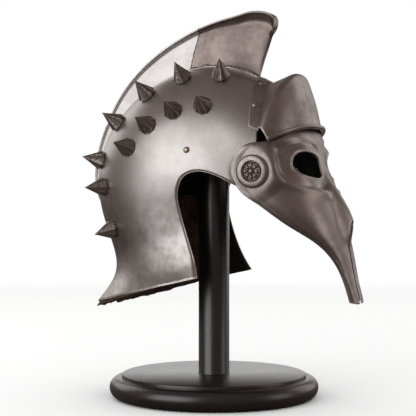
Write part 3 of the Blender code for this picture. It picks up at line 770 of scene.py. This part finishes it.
def brow_column(across):
    """One strip of the plate: the band, the rise to a soft crease, the fall, and the rolled edge."""
    strip = [skull.offset(share, across, outside) for share in shares(BAND_ROWS, BROW_OVERLAP, 0.0)]
    foot = strip[-1]
    lip, middle, brow_line = [hood.point(share, across) for share in (0.0, 0.5, 1.0)]
    fall = Curve([tuple(lip), tuple(middle), tuple(brow_line)], [0, 1, 2])
    crease = min(CREASE / (lip - foot).length, 0.4)
    run = sum((Vector(fall.at(b)) - Vector(fall.at(a))).length for a, b in zip(shares(8), shares(8)[1:]))
    before, after = foot.lerp(lip, 1.0 - crease), Vector(fall.at(CREASE / run))
    strip += [foot.lerp(before, share) for share in shares(RISE_ROWS)[1:]]
    for share in shares(CREASE_ROWS)[1:]:
        strip.append(before.lerp(lip, share).lerp(lip.lerp(after, share), share))
    strip += [Vector(fall.at(share)) for share in shares(FALL_ROWS, CREASE / run, 1.0)[1:]]
    down = (strip[-1] - strip[-2]).normalized()
    ahead = -hood.normal(1.0, across)
    for turn in shares(ROLL_ROWS, 0.0, ROLL_TURN)[1:]:
        strip.append(brow_line + ROLL_RADIUS * (math.sin(turn) * down + (1.0 - math.cos(turn)) * ahead))
    return strip


grid = [list(row) for row in zip(*[brow_column(t) for t in shares(BROW_COLUMNS, -BROW_SPAN, BROW_SPAN)])]
mask_steel = make_steel(
    "mask steel", (0.54, 0.49, 0.475), (0.34, 0.30, 0.285), (0.70, 0.66, 0.64),
    clouds=19.0, amount=0.8, smooth=0.38, rough=0.50, dents=46.0, depth=0.0005, grain=0.6, edge=0.0014,
)
brow_piece = add_sheet(
    "brow_frontlet", grid, BROW_SKIN, [mask_steel, blackened, mask_steel, mask_steel], edge_distances(grid),
    falling=True, turned=ROLL_ROWS,
)
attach(brow_piece, "helmet")
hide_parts("brow_plate")


# Visor
# The face guard is one raised plate that turns on a bolt at each temple. It has an opening for each
# eye, a ridge for the nose, and a breathing slit between two long cheek points. Its edges are dressed.
VISOR_SKIN = 0.0024
VISOR_REACH = 0.110
VISOR_RISE = 0.060
VISOR_DROP = 0.165
VISOR_HALF_WIDTH = 0.087
NOSE_RIDGE = 0.015
NOSE_HALF = 0.013
NOSE_TOP = 0.030
HUB_RADIUS = 0.024
HUB_BLEND = 0.016
NOSE_FADE = 0.45
EYE_WIDTH = 0.052
EYE_HEIGHT = 0.033
EYE_OFFSET = 0.041
EYE_RISE = 0.008
EYE_TILT = math.radians(8.0)
EYE_SQUARENESS = 0.72
EYE_LIP = 0.0030
EYE_LIP_WIDTH = 0.0042
EYE_HOLLOW = 0.0030
EYE_HOLLOW_WIDTH = 0.0120
BORDER_RISE = 0.0012
BORDER_WIDTH = 0.0065
BORDER_STEP = 0.0018
CHEEK_RISE = 0.0055
CHEEK_WIDTH = 0.0085
CHEEK_LINE = (-0.034, 0.30)
PLATE_WAVE_SCALE, PLATE_WAVE_DEPTH = 26.0, 0.0003
SLIT_HALF = 0.0065
SLIT_TOP = 0.060
CUTTER_REACH = 1.4
SLIT_REACH = 1.2
SLIT_STEPS = 60
VISOR_BEAD = 0.0015
CUT_FOLD = math.radians(50.0)
BOLT_RADIUS = 0.0040
BOLT_CLEARANCE = 0.0004
VISOR_GRID = (128, 128)
OUTLINE_POINTS = 72
# ahead, rise, edge ahead, edge rise, width and fullness of each arch, from the top to the cheek points
VISOR_ARCHES = [
    (0.360, 1.000, 0.110, 0.500, 0.852, 2.55),
    (0.450, 0.820, 0.020, 0.540, 0.908, 2.58),
    (0.505, 0.620, -0.105, 0.490, 0.965, 2.60),
    (0.530, 0.400, -0.215, 0.260, 0.995, 2.60),
    (0.545, 0.130, -0.240, 0.000, 1.000, 2.60),
    (0.600, -0.070, -0.190, -0.085, 1.000, 2.55),
    (0.665, -0.170, -0.110, -0.155, 0.995, 2.50),
    (0.730, -0.275, 0.030, -0.220, 0.965, 2.40),
    (0.785, -0.380, 0.190, -0.300, 0.900, 2.30),
    (0.830, -0.490, 0.400, -0.405, 0.760, 2.20),
    (0.885, -0.615, 0.620, -0.515, 0.550, 2.15),
    (0.940, -0.790, 0.810, -0.690, 0.335, 2.10),
    (1.010, -0.985, 0.940, -0.970, 0.215, 2.10),
]


def shape_visor(p):
    p = flatten_hub(p, VISOR_HALF_WIDTH, HUB_RADIUS, HUB_BLEND)
    down = (EAR_LEVEL + NOSE_TOP - p.z) / (NOSE_TOP + SLIT_TOP)
    swell = smooth_step(down) * (1.0 - smooth_step((down - 1.0) / NOSE_FADE))
    p.x += NOSE_RIDGE * swell * math.exp(-((p.y / NOSE_HALF) ** 2))
    return p


def eye_outline(side):
    """The eye opening seen from the front, as (y, z) points."""
    points = []
    for k in range(OUTLINE_POINTS):
        turn = 2 * math.pi * k / OUTLINE_POINTS
        y = EYE_WIDTH / 2 * math.copysign(abs(math.cos(turn)) ** EYE_SQUARENESS, math.cos(turn))
        z = EYE_HEIGHT / 2 * math.copysign(abs(math.sin(turn)) ** EYE_SQUARENESS, math.sin(turn))
        across = y * math.cos(EYE_TILT) - z * math.sin(EYE_TILT) + EYE_OFFSET
        up = y * math.sin(EYE_TILT) + z * math.cos(EYE_TILT)
        points.append((side * across, EAR_LEVEL + EYE_RISE + up))
    return points


def slit_outline():
    """The slit seen from the front, up one side, over its round top and down the other."""
    top = EAR_LEVEL - SLIT_TOP - SLIT_HALF
    run = shares(SLIT_STEPS, EAR_LEVEL - SLIT_REACH * VISOR_DROP, top)
    points = [(-SLIT_HALF, z) for z in run]
    for a in shares(16, 0.0, math.pi)[1:-1]:
        points.append((-SLIT_HALF * math.cos(a), top + SLIT_HALF * math.sin(a)))
    return points + [(SLIT_HALF, z) for z in reversed(run)]


visor = Shell(
    real_arches(VISOR_ARCHES, PIVOT_X, VISOR_REACH, VISOR_RISE, VISOR_DROP, VISOR_HALF_WIDTH), shape_visor
)
outlines = [eye_outline(1), eye_outline(-1), slit_outline()]
line_points = [np.array(outline) for outline in outlines]


def opening_distances(p):
    """The distances in front view to the nearest outline of any opening, and to the nearest of an eye."""
    here = np.array((p.y, p.z))
    near = [float(np.min(np.linalg.norm(points - here, axis=1))) for points in line_points]
    return min(near), min(near[:2])


def close_prism(name, outline, near, far):
    count = len(outline)
    verts = [(x, y, z) for x in (near, far) for y, z in outline]
    faces = [tuple(range(count)), tuple(range(2 * count - 1, count - 1, -1))]
    faces += [(j, (j + 1) % count, count + (j + 1) % count, count + j) for j in range(count)]
    mesh = bpy.data.meshes.new(name)
    mesh.from_pydata(verts, [], faces)
    face_outward(mesh)
    return bpy.data.objects.new(name, mesh)


def cut_and_apply(obj, cutters):
    """Cuts the openings through a sheet and keeps the result as the object's own mesh."""
    for cutter in cutters:
        bpy.context.scene.collection.objects.link(cutter)
        made = obj.modifiers.new("cut", "BOOLEAN")
        made.operation = "DIFFERENCE"
        made.object = cutter
    bpy.context.view_layer.update()
    shaped = obj.evaluated_get(bpy.context.evaluated_depsgraph_get())
    mesh = bpy.data.meshes.new_from_object(shaped)
    obj.modifiers.clear()
    obj.data = mesh
    for cutter in cutters:
        bpy.data.objects.remove(cutter)


def raised_forms(p, eye, border):
    """How far the smith drove the plate out: a lip round each eye in a shallow hollow, a cheekbone under
    it, and a step along the border. All of it fades out where the plate slides under the brow."""
    lip = EYE_LIP * math.exp(-((eye / EYE_LIP_WIDTH) ** 2))
    hollow = -EYE_HOLLOW * math.exp(-(((eye - EYE_HOLLOW_WIDTH) / EYE_LIP_WIDTH) ** 2))
    start, slope = CHEEK_LINE
    below = p.z - (EAR_LEVEL + start + slope * abs(p.y))
    reach = smooth_step((abs(p.y) - 0.2 * EYE_OFFSET) / (0.5 * EYE_OFFSET))
    cheek = CHEEK_RISE * math.exp(-((below / CHEEK_WIDTH) ** 2)) * reach
    cheek *= smooth_step((math.hypot(p.x - PIVOT_X, p.z - EAR_LEVEL) - HUB_RADIUS) / HUB_BLEND)
    step = BORDER_RISE * (1.0 - smooth_step((border - BORDER_WIDTH) / BORDER_STEP))
    off_nose = smooth_step((abs(p.y) - 0.4 * NOSE_HALF) / NOSE_HALF)
    under_brow = 1.0 - smooth_step((p.z - EAR_LEVEL - 0.5 * VISOR_RISE) / (0.2 * VISOR_RISE))
    return ((lip + hollow) * off_nose + cheek + step) * under_brow


columns = shares(VISOR_GRID[1], -1.0, 1.0)
plain = [[visor.point(along, t) for t in columns] for along in shares(VISOR_GRID[0])]
border = edge_distances(plain, (False, False, True))
grid, edge = [], []
for i, along in enumerate(shares(VISOR_GRID[0])):
    line, near = [], []
    for j, across in enumerate(columns):
        p = plain[i][j]
        opening, eye = opening_distances(p)
        raised = raised_forms(p, eye, float(border[i, j]))
        soft = noise.noise(p * PLATE_WAVE_SCALE + Vector((0.0, 9.0, 0.0))) * PLATE_WAVE_DEPTH
        line.append(p - (raised + soft) * visor.normal(along, across))
        near.append(opening)
    grid.append(line)
    edge.append(near)
edge = np.minimum(np.array(edge), edge_distances(grid))
visor_piece = add_sheet("visor_plate", grid, VISOR_SKIN, [mask_steel, blackened], edge, falling=True)
bpy.context.view_layer.update()
plate = BVHTree.FromObject(visor_piece, bpy.context.evaluated_depsgraph_get())
near_x, far_x = PIVOT_X, PIVOT_X + CUTTER_REACH * VISOR_REACH
bolt_hole = [
    (PIVOT_X + (BOLT_RADIUS + BOLT_CLEARANCE) * math.cos(a), (BOLT_RADIUS + BOLT_CLEARANCE) * math.sin(a))
    for a in shares(32, 0.0, 2 * math.pi)[:-1]
]
hole_cutter = close_prism("bolt_hole_cutter", bolt_hole, -0.1, 0.1)
hole_cutter.data.transform(Matrix(((0, 1, 0, 0), (1, 0, 0, 0), (0, 0, 1, EAR_LEVEL), (0, 0, 0, 1))))
hole_cutter.data.flip_normals()
cutters = [close_prism("opening_cutter", outline, near_x, far_x) for outline in outlines]
cut_and_apply(visor_piece, cutters + [hole_cutter])
visor_piece.data.set_sharp_from_angle(angle=CUT_FOLD)
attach(visor_piece, "visor")
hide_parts("visor")


def on_plate(outline):
    """The outline laid on the plate's front face, without the stretch that misses the plate."""
    found = []
    for y, z in outline:
        hit = plate.ray_cast(Vector((far_x, y, z)), Vector((-1.0, 0.0, 0.0)))[0]
        if hit is not None:
            found.append(hit - Vector((VISOR_SKIN / 2, 0.0, 0.0)))
    return found


low_right = [p for p in grid[-1][1:-1] if p.y < -SLIT_HALF]
low_left = [p for p in grid[-1][1:-1] if p.y > SLIT_HALF]
edges = {
    "visor_edge_r": ([row[0] for row in grid] + low_right, False),
    "visor_edge_l": (low_left + [row[-1] for row in reversed(grid)], False),
    "visor_top_edge": (grid[0], False),
    "eye_edge_l": (on_plate(outlines[0]), True),
    "eye_edge_r": (on_plate(outlines[1]), True),
}
for name, (points, closed) in edges.items():
    bead = add_bead(name, points, VISOR_BEAD, mask_steel, closed)
    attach(bead, "visor")


# Pivots
# At each temple a dished boss turns with the visor. The bolt through it has a cast rosette for a head,
# a collar that spaces the visor from the skull, and a nut inside.
BOSS_RADIUS = 0.0205
BOSS_HEIGHT = 0.0045
BOSS_FLOOR = 0.0020
ROSETTE_RADIUS = 0.0120
ROSETTE_HEIGHT = 0.0055
COLLAR_RADIUS = 0.0075
NUT_RADIUS = 0.0080
NUT_HEIGHT = 0.0045
ROSETTE_FLOOR = 0.35
ROSETTE_DOME = 0.95
PETALS = 8
PETAL_REACH = (0.30, 0.84)
PETAL_GAP = 0.35
ROSETTE_GRID = (30, 96)
BOSS_SHOULDER = [(0.84, 0.0), (0.93, 0.0006), (0.99, 0.0020)]
BOSS_CHAMFER = 0.0008
BOSS_FILLET = 0.0005
TURNED_FOLD = math.radians(32.0)
UNWORN = 0.01


def side_matrix(place, side):
    """Turns a piece made on the Z axis out of the helmet's left (1) or right side (-1), and places it."""
    return Matrix.Translation(place) @ Matrix.Rotation(-side * math.pi / 2, 4, "X")


def add_turned(name, profile, steps, material, place=(0.0, 0.0, 0.0), side=0, ring=False):
    """A turned piece from (radius, height) pairs, on the Z axis or out of one side of the helmet. Its
    folds are its worn edges, and a ring closes its own profile."""
    verts, faces, edge = [], [], []
    count = len(profile)
    for k in range(steps):
        a = 2 * math.pi * k / steps
        for r, h in profile:
            verts.append(Vector((r * math.cos(a), r * math.sin(a), h)))
    spans = count if ring else count - 1
    for k in range(steps):
        for i in range(spans):
            a, b = k * count + i, k * count + (i + 1) % count
            c, d = ((k + 1) % steps) * count + (i + 1) % count, ((k + 1) % steps) * count + i
            faces.append((a, b, c, d))
    obj = add_mesh(name, verts, faces, [material])
    made = bmesh.new()
    made.from_mesh(obj.data)
    bmesh.ops.remove_doubles(made, verts=made.verts, dist=1e-6)
    bmesh.ops.recalc_face_normals(made, faces=made.faces)
    made.transform(side_matrix(place, side))
    layer = made.verts.layers.float["edge"]
    for vert in made.verts:
        folds = [e.calc_face_angle(0.0) for e in vert.link_edges]
        vert[layer] = 0.0 if max(folds, default=0.0) > TURNED_FOLD else UNWORN
    made.to_mesh(obj.data)
    made.free()
    obj.data.set_sharp_from_angle(angle=TURNED_FOLD)
    return obj


def rosette_height(r, a):
    """Rounded petals round a domed boss, in shares of the rosette's radius and height."""
    swing = abs(math.cos(PETALS * a / 2))
    inner, outer = PETAL_REACH
    boss = math.sqrt(max(1.0 - (r / inner) ** 2, 0.0)) * ROSETTE_DOME
    middle = (r - (inner + outer) / 2) / ((outer - inner) / 2)
    petal = max(1.0 - middle**2, 0.0) ** 0.5 * max(swing - PETAL_GAP, 0.0) ** 0.5
    rim = math.exp(-(((r - 0.93) / 0.05) ** 2)) * 0.55
    return max(boss, petal * 0.85, rim)


def add_rosette(name, place, side, material):
    rings, steps = ROSETTE_GRID
    turns = [2 * math.pi * k / steps for k in range(steps)]
    verts, edge = [Vector((0.0, 0.0, ROSETTE_HEIGHT * ROSETTE_DOME))], [0.0]
    for i in range(1, rings + 1):
        r = i / rings
        for a in turns:
            rise = rosette_height(r, a)
            out, height = ROSETTE_RADIUS * r, ROSETTE_HEIGHT * (ROSETTE_FLOOR + 0.6 * rise)
            verts.append(Vector((out * math.cos(a), out * math.sin(a), height)))
            edge.append(0.0016 * (1.0 - rise))
    for a in turns:
        verts.append(Vector((ROSETTE_RADIUS * math.cos(a), ROSETTE_RADIUS * math.sin(a), 0.0)))
        edge.append(0.002)
    faces = [(0, 1 + k, 1 + (k + 1) % steps) for k in range(steps)]
    faces += [face[::-1] for face in ring_faces(rings + 1, steps, first=1)]
    faces.append(tuple(1 + rings * steps + k for k in range(steps - 1, -1, -1)))
    obj = add_mesh(name, verts, faces, [material], edge)
    obj.data.transform(side_matrix(place, side))
    obj.data.update()
    return obj


hole = BOLT_RADIUS + BOLT_CLEARANCE
boss_seat = VISOR_HALF_WIDTH + VISOR_SKIN / 2 + SEAT_GAP
floor_level = boss_seat + BOSS_FLOOR
rim_level = boss_seat + BOSS_HEIGHT
dish = ROSETTE_RADIUS + BOLT_CLEARANCE * 2
boss_profile = [
    (dish, rim_level - BOSS_CHAMFER),
    (dish + BOSS_CHAMFER, rim_level),
    *((share * BOSS_RADIUS, rim_level - drop) for share, drop in BOSS_SHOULDER),
    (BOSS_RADIUS, boss_seat + BOSS_CHAMFER),
    (BOSS_RADIUS, boss_seat),
    (hole, boss_seat),
    (hole, floor_level),
    (dish - BOSS_FILLET, floor_level),
    (dish, floor_level + BOSS_FILLET),
]
head = floor_level + SEAT_GAP
collar_out = VISOR_HALF_WIDTH - VISOR_SKIN / 2 - SEAT_GAP
collar_in = SKULL_HUB + SKULL_SKIN / 2 + SEAT_GAP
nut_out = SKULL_HUB - SKULL_SKIN / 2 - SEAT_GAP
shank_profile = [
    (0.0, head),
    (BOLT_RADIUS, head),
    (BOLT_RADIUS, collar_out),
    (COLLAR_RADIUS, collar_out),
    (COLLAR_RADIUS, collar_in),
    (BOLT_RADIUS, collar_in),
    (BOLT_RADIUS, nut_out),
    (NUT_RADIUS, nut_out),
    (NUT_RADIUS, nut_out - NUT_HEIGHT),
    (0.0, nut_out - NUT_HEIGHT),
]
for name, side in (("l", 1), ("r", -1)):
    axis = (PIVOT_X, 0.0, EAR_LEVEL)
    boss = add_turned("temple_boss_" + name, boss_profile, 96, mask_steel, axis, side, ring=True)
    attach(boss, "visor")
    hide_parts("pivot_boss_" + name)
    rosette = add_rosette("rosette_" + name, (PIVOT_X, side * head, EAR_LEVEL), side, cast_steel)
    shank = add_turned("bolt_shank_" + name, shank_profile, 48, cast_steel, axis, side)
    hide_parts("pivot_bolt_" + name)
    for piece in (rosette, shank):
        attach(piece, "helmet")


# Spikes
# Forged cones with filed flutes, blackened, each riveted through the skull from inside. They stand in
# two rows over the crown and one on the neck guard, the same on both sides.
SPIKE_RADIUS = 0.0125
SPIKE_LENGTH = 0.0270
SPIKE_FLUTES = 10
FLUTE_DEPTH = 0.085
SPIKE_SHOULDER = 0.10
SPIKE_BASE = 0.84
SPIKE_FOLD = math.radians(24.0)
SPIKE_SINK = 0.0002
# name, across, first along, last along and count of each row
SPIKE_ROWS = [
    ("upper", 0.290, 0.130, 0.570, 5),
    ("lower", 0.590, 0.190, 0.500, 4),
    ("neck", 0.400, 0.640, 0.770, 2),
]
black_spikes = make_steel(
    "blackened spikes", (0.40, 0.36, 0.34), (0.20, 0.175, 0.16), (0.70, 0.66, 0.63),
    clouds=95.0, amount=0.9, smooth=0.34, rough=0.50, dents=300.0, depth=0.0005, grain=1.2, edge=0.0008,
)


def add_spike(name, turn):
    """One fluted cone: ridges at full radius, valleys filed in, a chamfered foot and a blunt tip."""
    levels = [
        # height, radius, flute
        (0.0, SPIKE_BASE, 0.5),
        (SPIKE_SHOULDER * 0.6, 0.97, 0.9),
        (SPIKE_SHOULDER, 1.0, 1.0),
        (0.35, 0.715, 1.0),
        (0.60, 0.435, 1.0),
        (0.82, 0.195, 0.8),
        (0.97, 0.045, 0.3),
    ]
    around = SPIKE_FLUTES * 4
    verts, edge = [], []
    for height, radius, depth in levels:
        for k in range(around):
            a = 2 * math.pi * k / around + turn
            flute = abs(math.sin(math.pi * k * SPIKE_FLUTES / around))
            r = SPIKE_RADIUS * radius * (1.0 - FLUTE_DEPTH * depth * flute**0.8)
            verts.append((r * math.cos(a), r * math.sin(a), SPIKE_LENGTH * height))
            edge.append(0.0022 * flute)
    faces = ring_faces(len(levels), around)
    verts.append((0.0, 0.0, SPIKE_LENGTH))
    edge.append(0.0)
    tip, first = len(verts) - 1, (len(levels) - 1) * around
    faces += [(first + k, first + (k + 1) % around, tip) for k in range(around)]
    faces.append(tuple(range(around - 1, -1, -1)))
    obj = add_mesh(name, verts, faces, [black_spikes], edge)
    obj.data.set_sharp_from_angle(angle=SPIKE_FOLD)
    return obj


def seat_on_skull(obj, along, across, lift):
    """Stands a piece made on the Z axis straight out of the skull, lifted from its middle by lift."""
    turn = skull.normal(along, across).to_track_quat("Z", "Y").to_matrix().to_4x4()
    obj.data.transform(Matrix.Translation(skull.offset(along, across, lift)) @ turn)
    obj.data.update()


draw = random.Random(7)
for row, across, first, last, count in SPIKE_ROWS:
    for k in range(count):
        along = first + (last - first) * k / (count - 1)
        for name, side in (("l", 1), ("r", -1)):
            label = "%s_%d_%s" % (row, k + 1, name)
            spike = add_spike("fluted_spike_" + label, draw.uniform(0.0, math.pi))
            seat_on_skull(spike, along, side * across, SKULL_SKIN / 2 - SPIKE_SINK)
            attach(spike, "helmet")
            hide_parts("spike_" + label)


# Rivets
# Domed rivets: one of tarnished brass above each ear, and steel ones through the brow plate's band.
RIVET_RADIUS = 0.0042
RIVET_HEIGHT = 0.0026
RIVET_SINK = 0.0002
EAR_RIVET = (0.330, 0.865)
BROW_RIVETS = [0.200, 0.480]
dome_profile = [
    (RIVET_RADIUS * math.sin(a), RIVET_HEIGHT * math.cos(a)) for a in shares(9, 0.0, math.pi / 2)
] + [(RIVET_RADIUS, -RIVET_SINK), (0.0, -RIVET_SINK)]
old_brass = make_steel(
    "old brass", (0.88, 0.76, 0.64), (0.66, 0.53, 0.42), (0.95, 0.86, 0.76),
    clouds=90.0, depth=0.0002, smooth=0.30, rough=0.45,
)


def add_rivet(name, node, along, across, lift, material, slot):
    dome = add_turned(name, dome_profile, 40, material)
    seat_on_skull(dome, along, across, lift)
    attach(dome, "helmet")
    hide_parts(node)


on_skull, on_brow = SKULL_SKIN / 2, SKULL_SKIN / 2 + BROW_GAP + BROW_SKIN
for name, side in (("l", 1), ("r", -1)):
    along, across = EAR_RIVET
    add_rivet("ear_dome_" + name, "ear_rivet_" + name, along, side * across, on_skull, old_brass, "brass")
    for k, across in enumerate(BROW_RIVETS):
        label, across = "%d_%s" % (k + 1, name), side * across
        names = ("brow_dome_" + label, "brow_rivet_" + label)
        add_rivet(*names, BROW_OVERLAP / 2, across, on_brow, mask_steel, "aged_steel")


# Stand
# Turned wood under satin black lacquer: a disc foot with a bulged edge and a small step, a round post,
# and a domed cap that carries the skull.
BASE_RADIUS = 0.1355
BASE_HEIGHT = 0.030
BASE_TOP_RADIUS = 0.1235
BASE_TOP_STEP = 0.004
BASE_TOP_ROUND = [(-0.0012, 0.0), (-0.0003, -0.0004), (0.0, -0.0013)]
POST_RADIUS = 0.0200
CAP_RADIUS = 0.036
CAP_DOME_RADIUS = 0.054
CAP_GAP = 0.0007
CAP_EDGE = 0.008
POST_FLARE = 0.0004
POST_FLARE_HEIGHT = 0.0012
STAND_SIDES = 160
PEEL_SCALE, PEEL_DEPTH = 260.0, 0.00008


def make_lacquer():
    material, tree, shader = new_material("satin black lacquer")
    surface = add_clouds(tree, (0.0065, 0.0065, 0.0070), (0.013, 0.012, 0.012), 20.0, 0.6, 0.27, 0.34)
    orange_peel = add_noise(tree, surface_place(tree), PEEL_SCALE, 2.0)
    link_finish(tree, shader, surface, orange_peel, PEEL_DEPTH)
    shader.inputs["Specular IOR Level"].default_value = 0.8
    shader.inputs["Coat Weight"].default_value = 1.0
    shader.inputs["Coat Roughness"].default_value = 0.36
    return material


lacquer = make_lacquer()
half = (BASE_HEIGHT - BASE_TOP_STEP) / 2
plate_radius = BASE_TOP_RADIUS - BASE_TOP_STEP
base_profile = [(0.0, BASE_HEIGHT)]
base_profile += [(plate_radius + out, BASE_HEIGHT + up) for out, up in BASE_TOP_ROUND]
base_profile.append((plate_radius, 2 * half))
for a in shares(28, math.pi / 2, -math.pi / 2):
    bulge = BASE_TOP_RADIUS + (BASE_RADIUS - BASE_TOP_RADIUS) * math.cos(a)
    base_profile.append((bulge, half + half * math.sin(a)))
base_profile.append((0.0, 0.0))
cap_top = EAR_LEVEL + CROWN_HEIGHT - SKULL_SKIN / 2 - CAP_GAP
cap_low = cap_top - CAP_DOME_RADIUS + math.sqrt(CAP_DOME_RADIUS**2 - CAP_RADIUS**2) - CAP_EDGE
cap_profile = []
for a in shares(14, 0.0, math.asin(CAP_RADIUS / CAP_DOME_RADIUS)):
    cap_profile.append((CAP_DOME_RADIUS * math.sin(a), cap_top - CAP_DOME_RADIUS * (1 - math.cos(a))))
cap_profile += [(CAP_RADIUS, cap_low), (0.0, cap_low)]
post_profile = [
    (0.0, cap_low - SEAT_GAP),
    (POST_RADIUS, cap_low - SEAT_GAP),
    (POST_RADIUS, BASE_HEIGHT + POST_FLARE_HEIGHT),
    (POST_RADIUS + POST_FLARE, BASE_HEIGHT + SEAT_GAP),
    (0.0, BASE_HEIGHT + SEAT_GAP),
]
for name, node, profile in (
    ("turned_base", "stand_base", base_profile),
    ("turned_post", "stand_post", post_profile),
    ("domed_cap", "stand_cap", cap_profile),
):
    piece = add_turned(name, profile, STAND_SIDES, lacquer)
    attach(piece, "helmet")
    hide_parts(node)


# Studio
# A plain pale floor that fades into a white surround, with a large softbox at the camera's left, a small
# warm one at its right and two dimmer ones behind. Beyond them the metal reflects a dim warm room with a
# pale backdrop, which the camera itself doesn't see.
CAMERA_TURN = math.radians(22.0)
CAMERA_DISTANCE = 1.60
CAMERA_HEIGHT = 0.263
PHOTO_PIXELS = 416
FLOOR_RADIUS = 3.0
FLOOR_FADE = (0.35, 2.2)
LOW_WALL = (0.045, 0.032, 0.027, 1.0)
HIGH_WALL = (0.150, 0.114, 0.101, 1.0)
WARM = (1.0, 0.94, 0.91)
LIGHT_AIM = 0.27
METRES_A_PIXEL = 0.0013
POST_PIXEL = 214
FOOT_PIXEL = 396

ahead = Vector((-math.sin(CAMERA_TURN), math.cos(CAMERA_TURN), 0.0))
right = Vector((math.cos(CAMERA_TURN), math.sin(CAMERA_TURN), 0.0))
target = right * (PHOTO_PIXELS / 2 - POST_PIXEL) * METRES_A_PIXEL
target.z = (FOOT_PIXEL - PHOTO_PIXELS / 2) * METRES_A_PIXEL
camera_data = bpy.data.cameras.new("camera")
camera_data.angle = 2 * math.atan(PHOTO_PIXELS / 2 * METRES_A_PIXEL / CAMERA_DISTANCE)
camera = bpy.data.objects.new("camera", camera_data)
bpy.context.scene.collection.objects.link(camera)
camera.location = -CAMERA_DISTANCE * ahead + Vector((0.0, 0.0, CAMERA_HEIGHT)) + right * target.dot(right)
camera.rotation_euler = (target - camera.location).to_track_quat("-Z", "Y").to_euler()
bpy.context.scene.camera = camera

floor_mesh = bpy.data.meshes.new("floor")
made = bmesh.new()
bmesh.ops.create_circle(made, cap_ends=True, segments=96, radius=FLOOR_RADIUS)
made.to_mesh(floor_mesh)
made.free()
floor = bpy.data.objects.new("floor", floor_mesh)
bpy.context.scene.collection.objects.link(floor)
pale, tree, shader = new_material("pale floor")
shader.inputs["Base Color"].default_value = (0.97, 0.97, 0.97, 1.0)
shader.inputs["Roughness"].default_value = 0.7
dim = add_node(tree, "ShaderNodeBsdfDiffuse", {"Color": (0.10, 0.075, 0.065, 1.0)})
seen = add_node(tree, "ShaderNodeLightPath").outputs["Is Camera Ray"]
inputs = {0: seen, 1: dim.outputs["BSDF"], 2: shader.outputs["BSDF"]}
shown = add_node(tree, "ShaderNodeMixShader", inputs).outputs["Shader"]
away = add_node(tree, "ShaderNodeVectorMath", {0: surface_place(tree)}, operation="LENGTH").outputs["Value"]
clear = add_node(tree, "ShaderNodeBsdfTransparent").outputs["BSDF"]
mixed = add_node(tree, "ShaderNodeMixShader", {0: add_range(tree, away, *FLOOR_FADE), 1: shown, 2: clear})
tree.links.new(mixed.outputs["Shader"], tree.nodes["Material Output"].inputs["Surface"])
floor_mesh.materials.append(pale)

world = bpy.data.worlds.new("studio")
bpy.context.scene.world = world
world.use_nodes = True
tree = world.node_tree
direction = add_node(tree, "ShaderNodeTexCoord").outputs["Generated"]
facing = add_node(tree, "ShaderNodeVectorMath", {0: direction, 1: ahead}, operation="DOT_PRODUCT")
height = add_node(tree, "ShaderNodeSeparateXYZ", {0: direction}).outputs["Z"]
walls = add_mix(tree, add_range(tree, height, -0.35, 0.10), LOW_WALL, HIGH_WALL)
backdrop = add_range(tree, facing.outputs["Value"], 0.90, 0.985)
room = add_mix(tree, backdrop, walls, (0.95, 0.95, 0.95, 1.0))
path = add_node(tree, "ShaderNodeLightPath").outputs
plain_light = add_math(tree, "MAXIMUM", path["Is Camera Ray"], path["Is Diffuse Ray"])
shown = add_mix(tree, plain_light, room, (1.0, 1.0, 1.0, 1.0))
tree.links.new(shown, tree.nodes["Background"].inputs["Color"])


def add_softbox(name, along, across, height, size, power, tint=(1.0, 1.0, 1.0)):
    """A rectangular light at a place seen from the camera, turned to the helmet."""
    light = bpy.data.lights.new(name, "AREA")
    light.shape = "RECTANGLE"
    light.size, light.size_y = size
    light.energy = power
    light.color = tint
    obj = bpy.data.objects.new(name, light)
    obj.location = along * ahead + across * right + Vector((0.0, 0.0, height))
    obj.rotation_euler = (Vector((0.0, 0.0, LIGHT_AIM)) - obj.location).to_track_quat("-Z", "Y").to_euler()
    bpy.context.scene.collection.objects.link(obj)


add_softbox("key_light", -1.25, -1.38, 0.68, (1.6, 1.5), 11.5)
add_softbox("rear_light", 1.2, -1.3, 0.95, (1.3, 1.2), 4.0)
add_softbox("far_light", 1.2, 1.5, 0.75, (1.2, 1.2), 3.0)
add_softbox("front_light", -0.5, 1.9, 0.45, (0.9, 1.4), 2.8, WARM)
bpy.context.scene.view_settings.view_transform = "Standard"
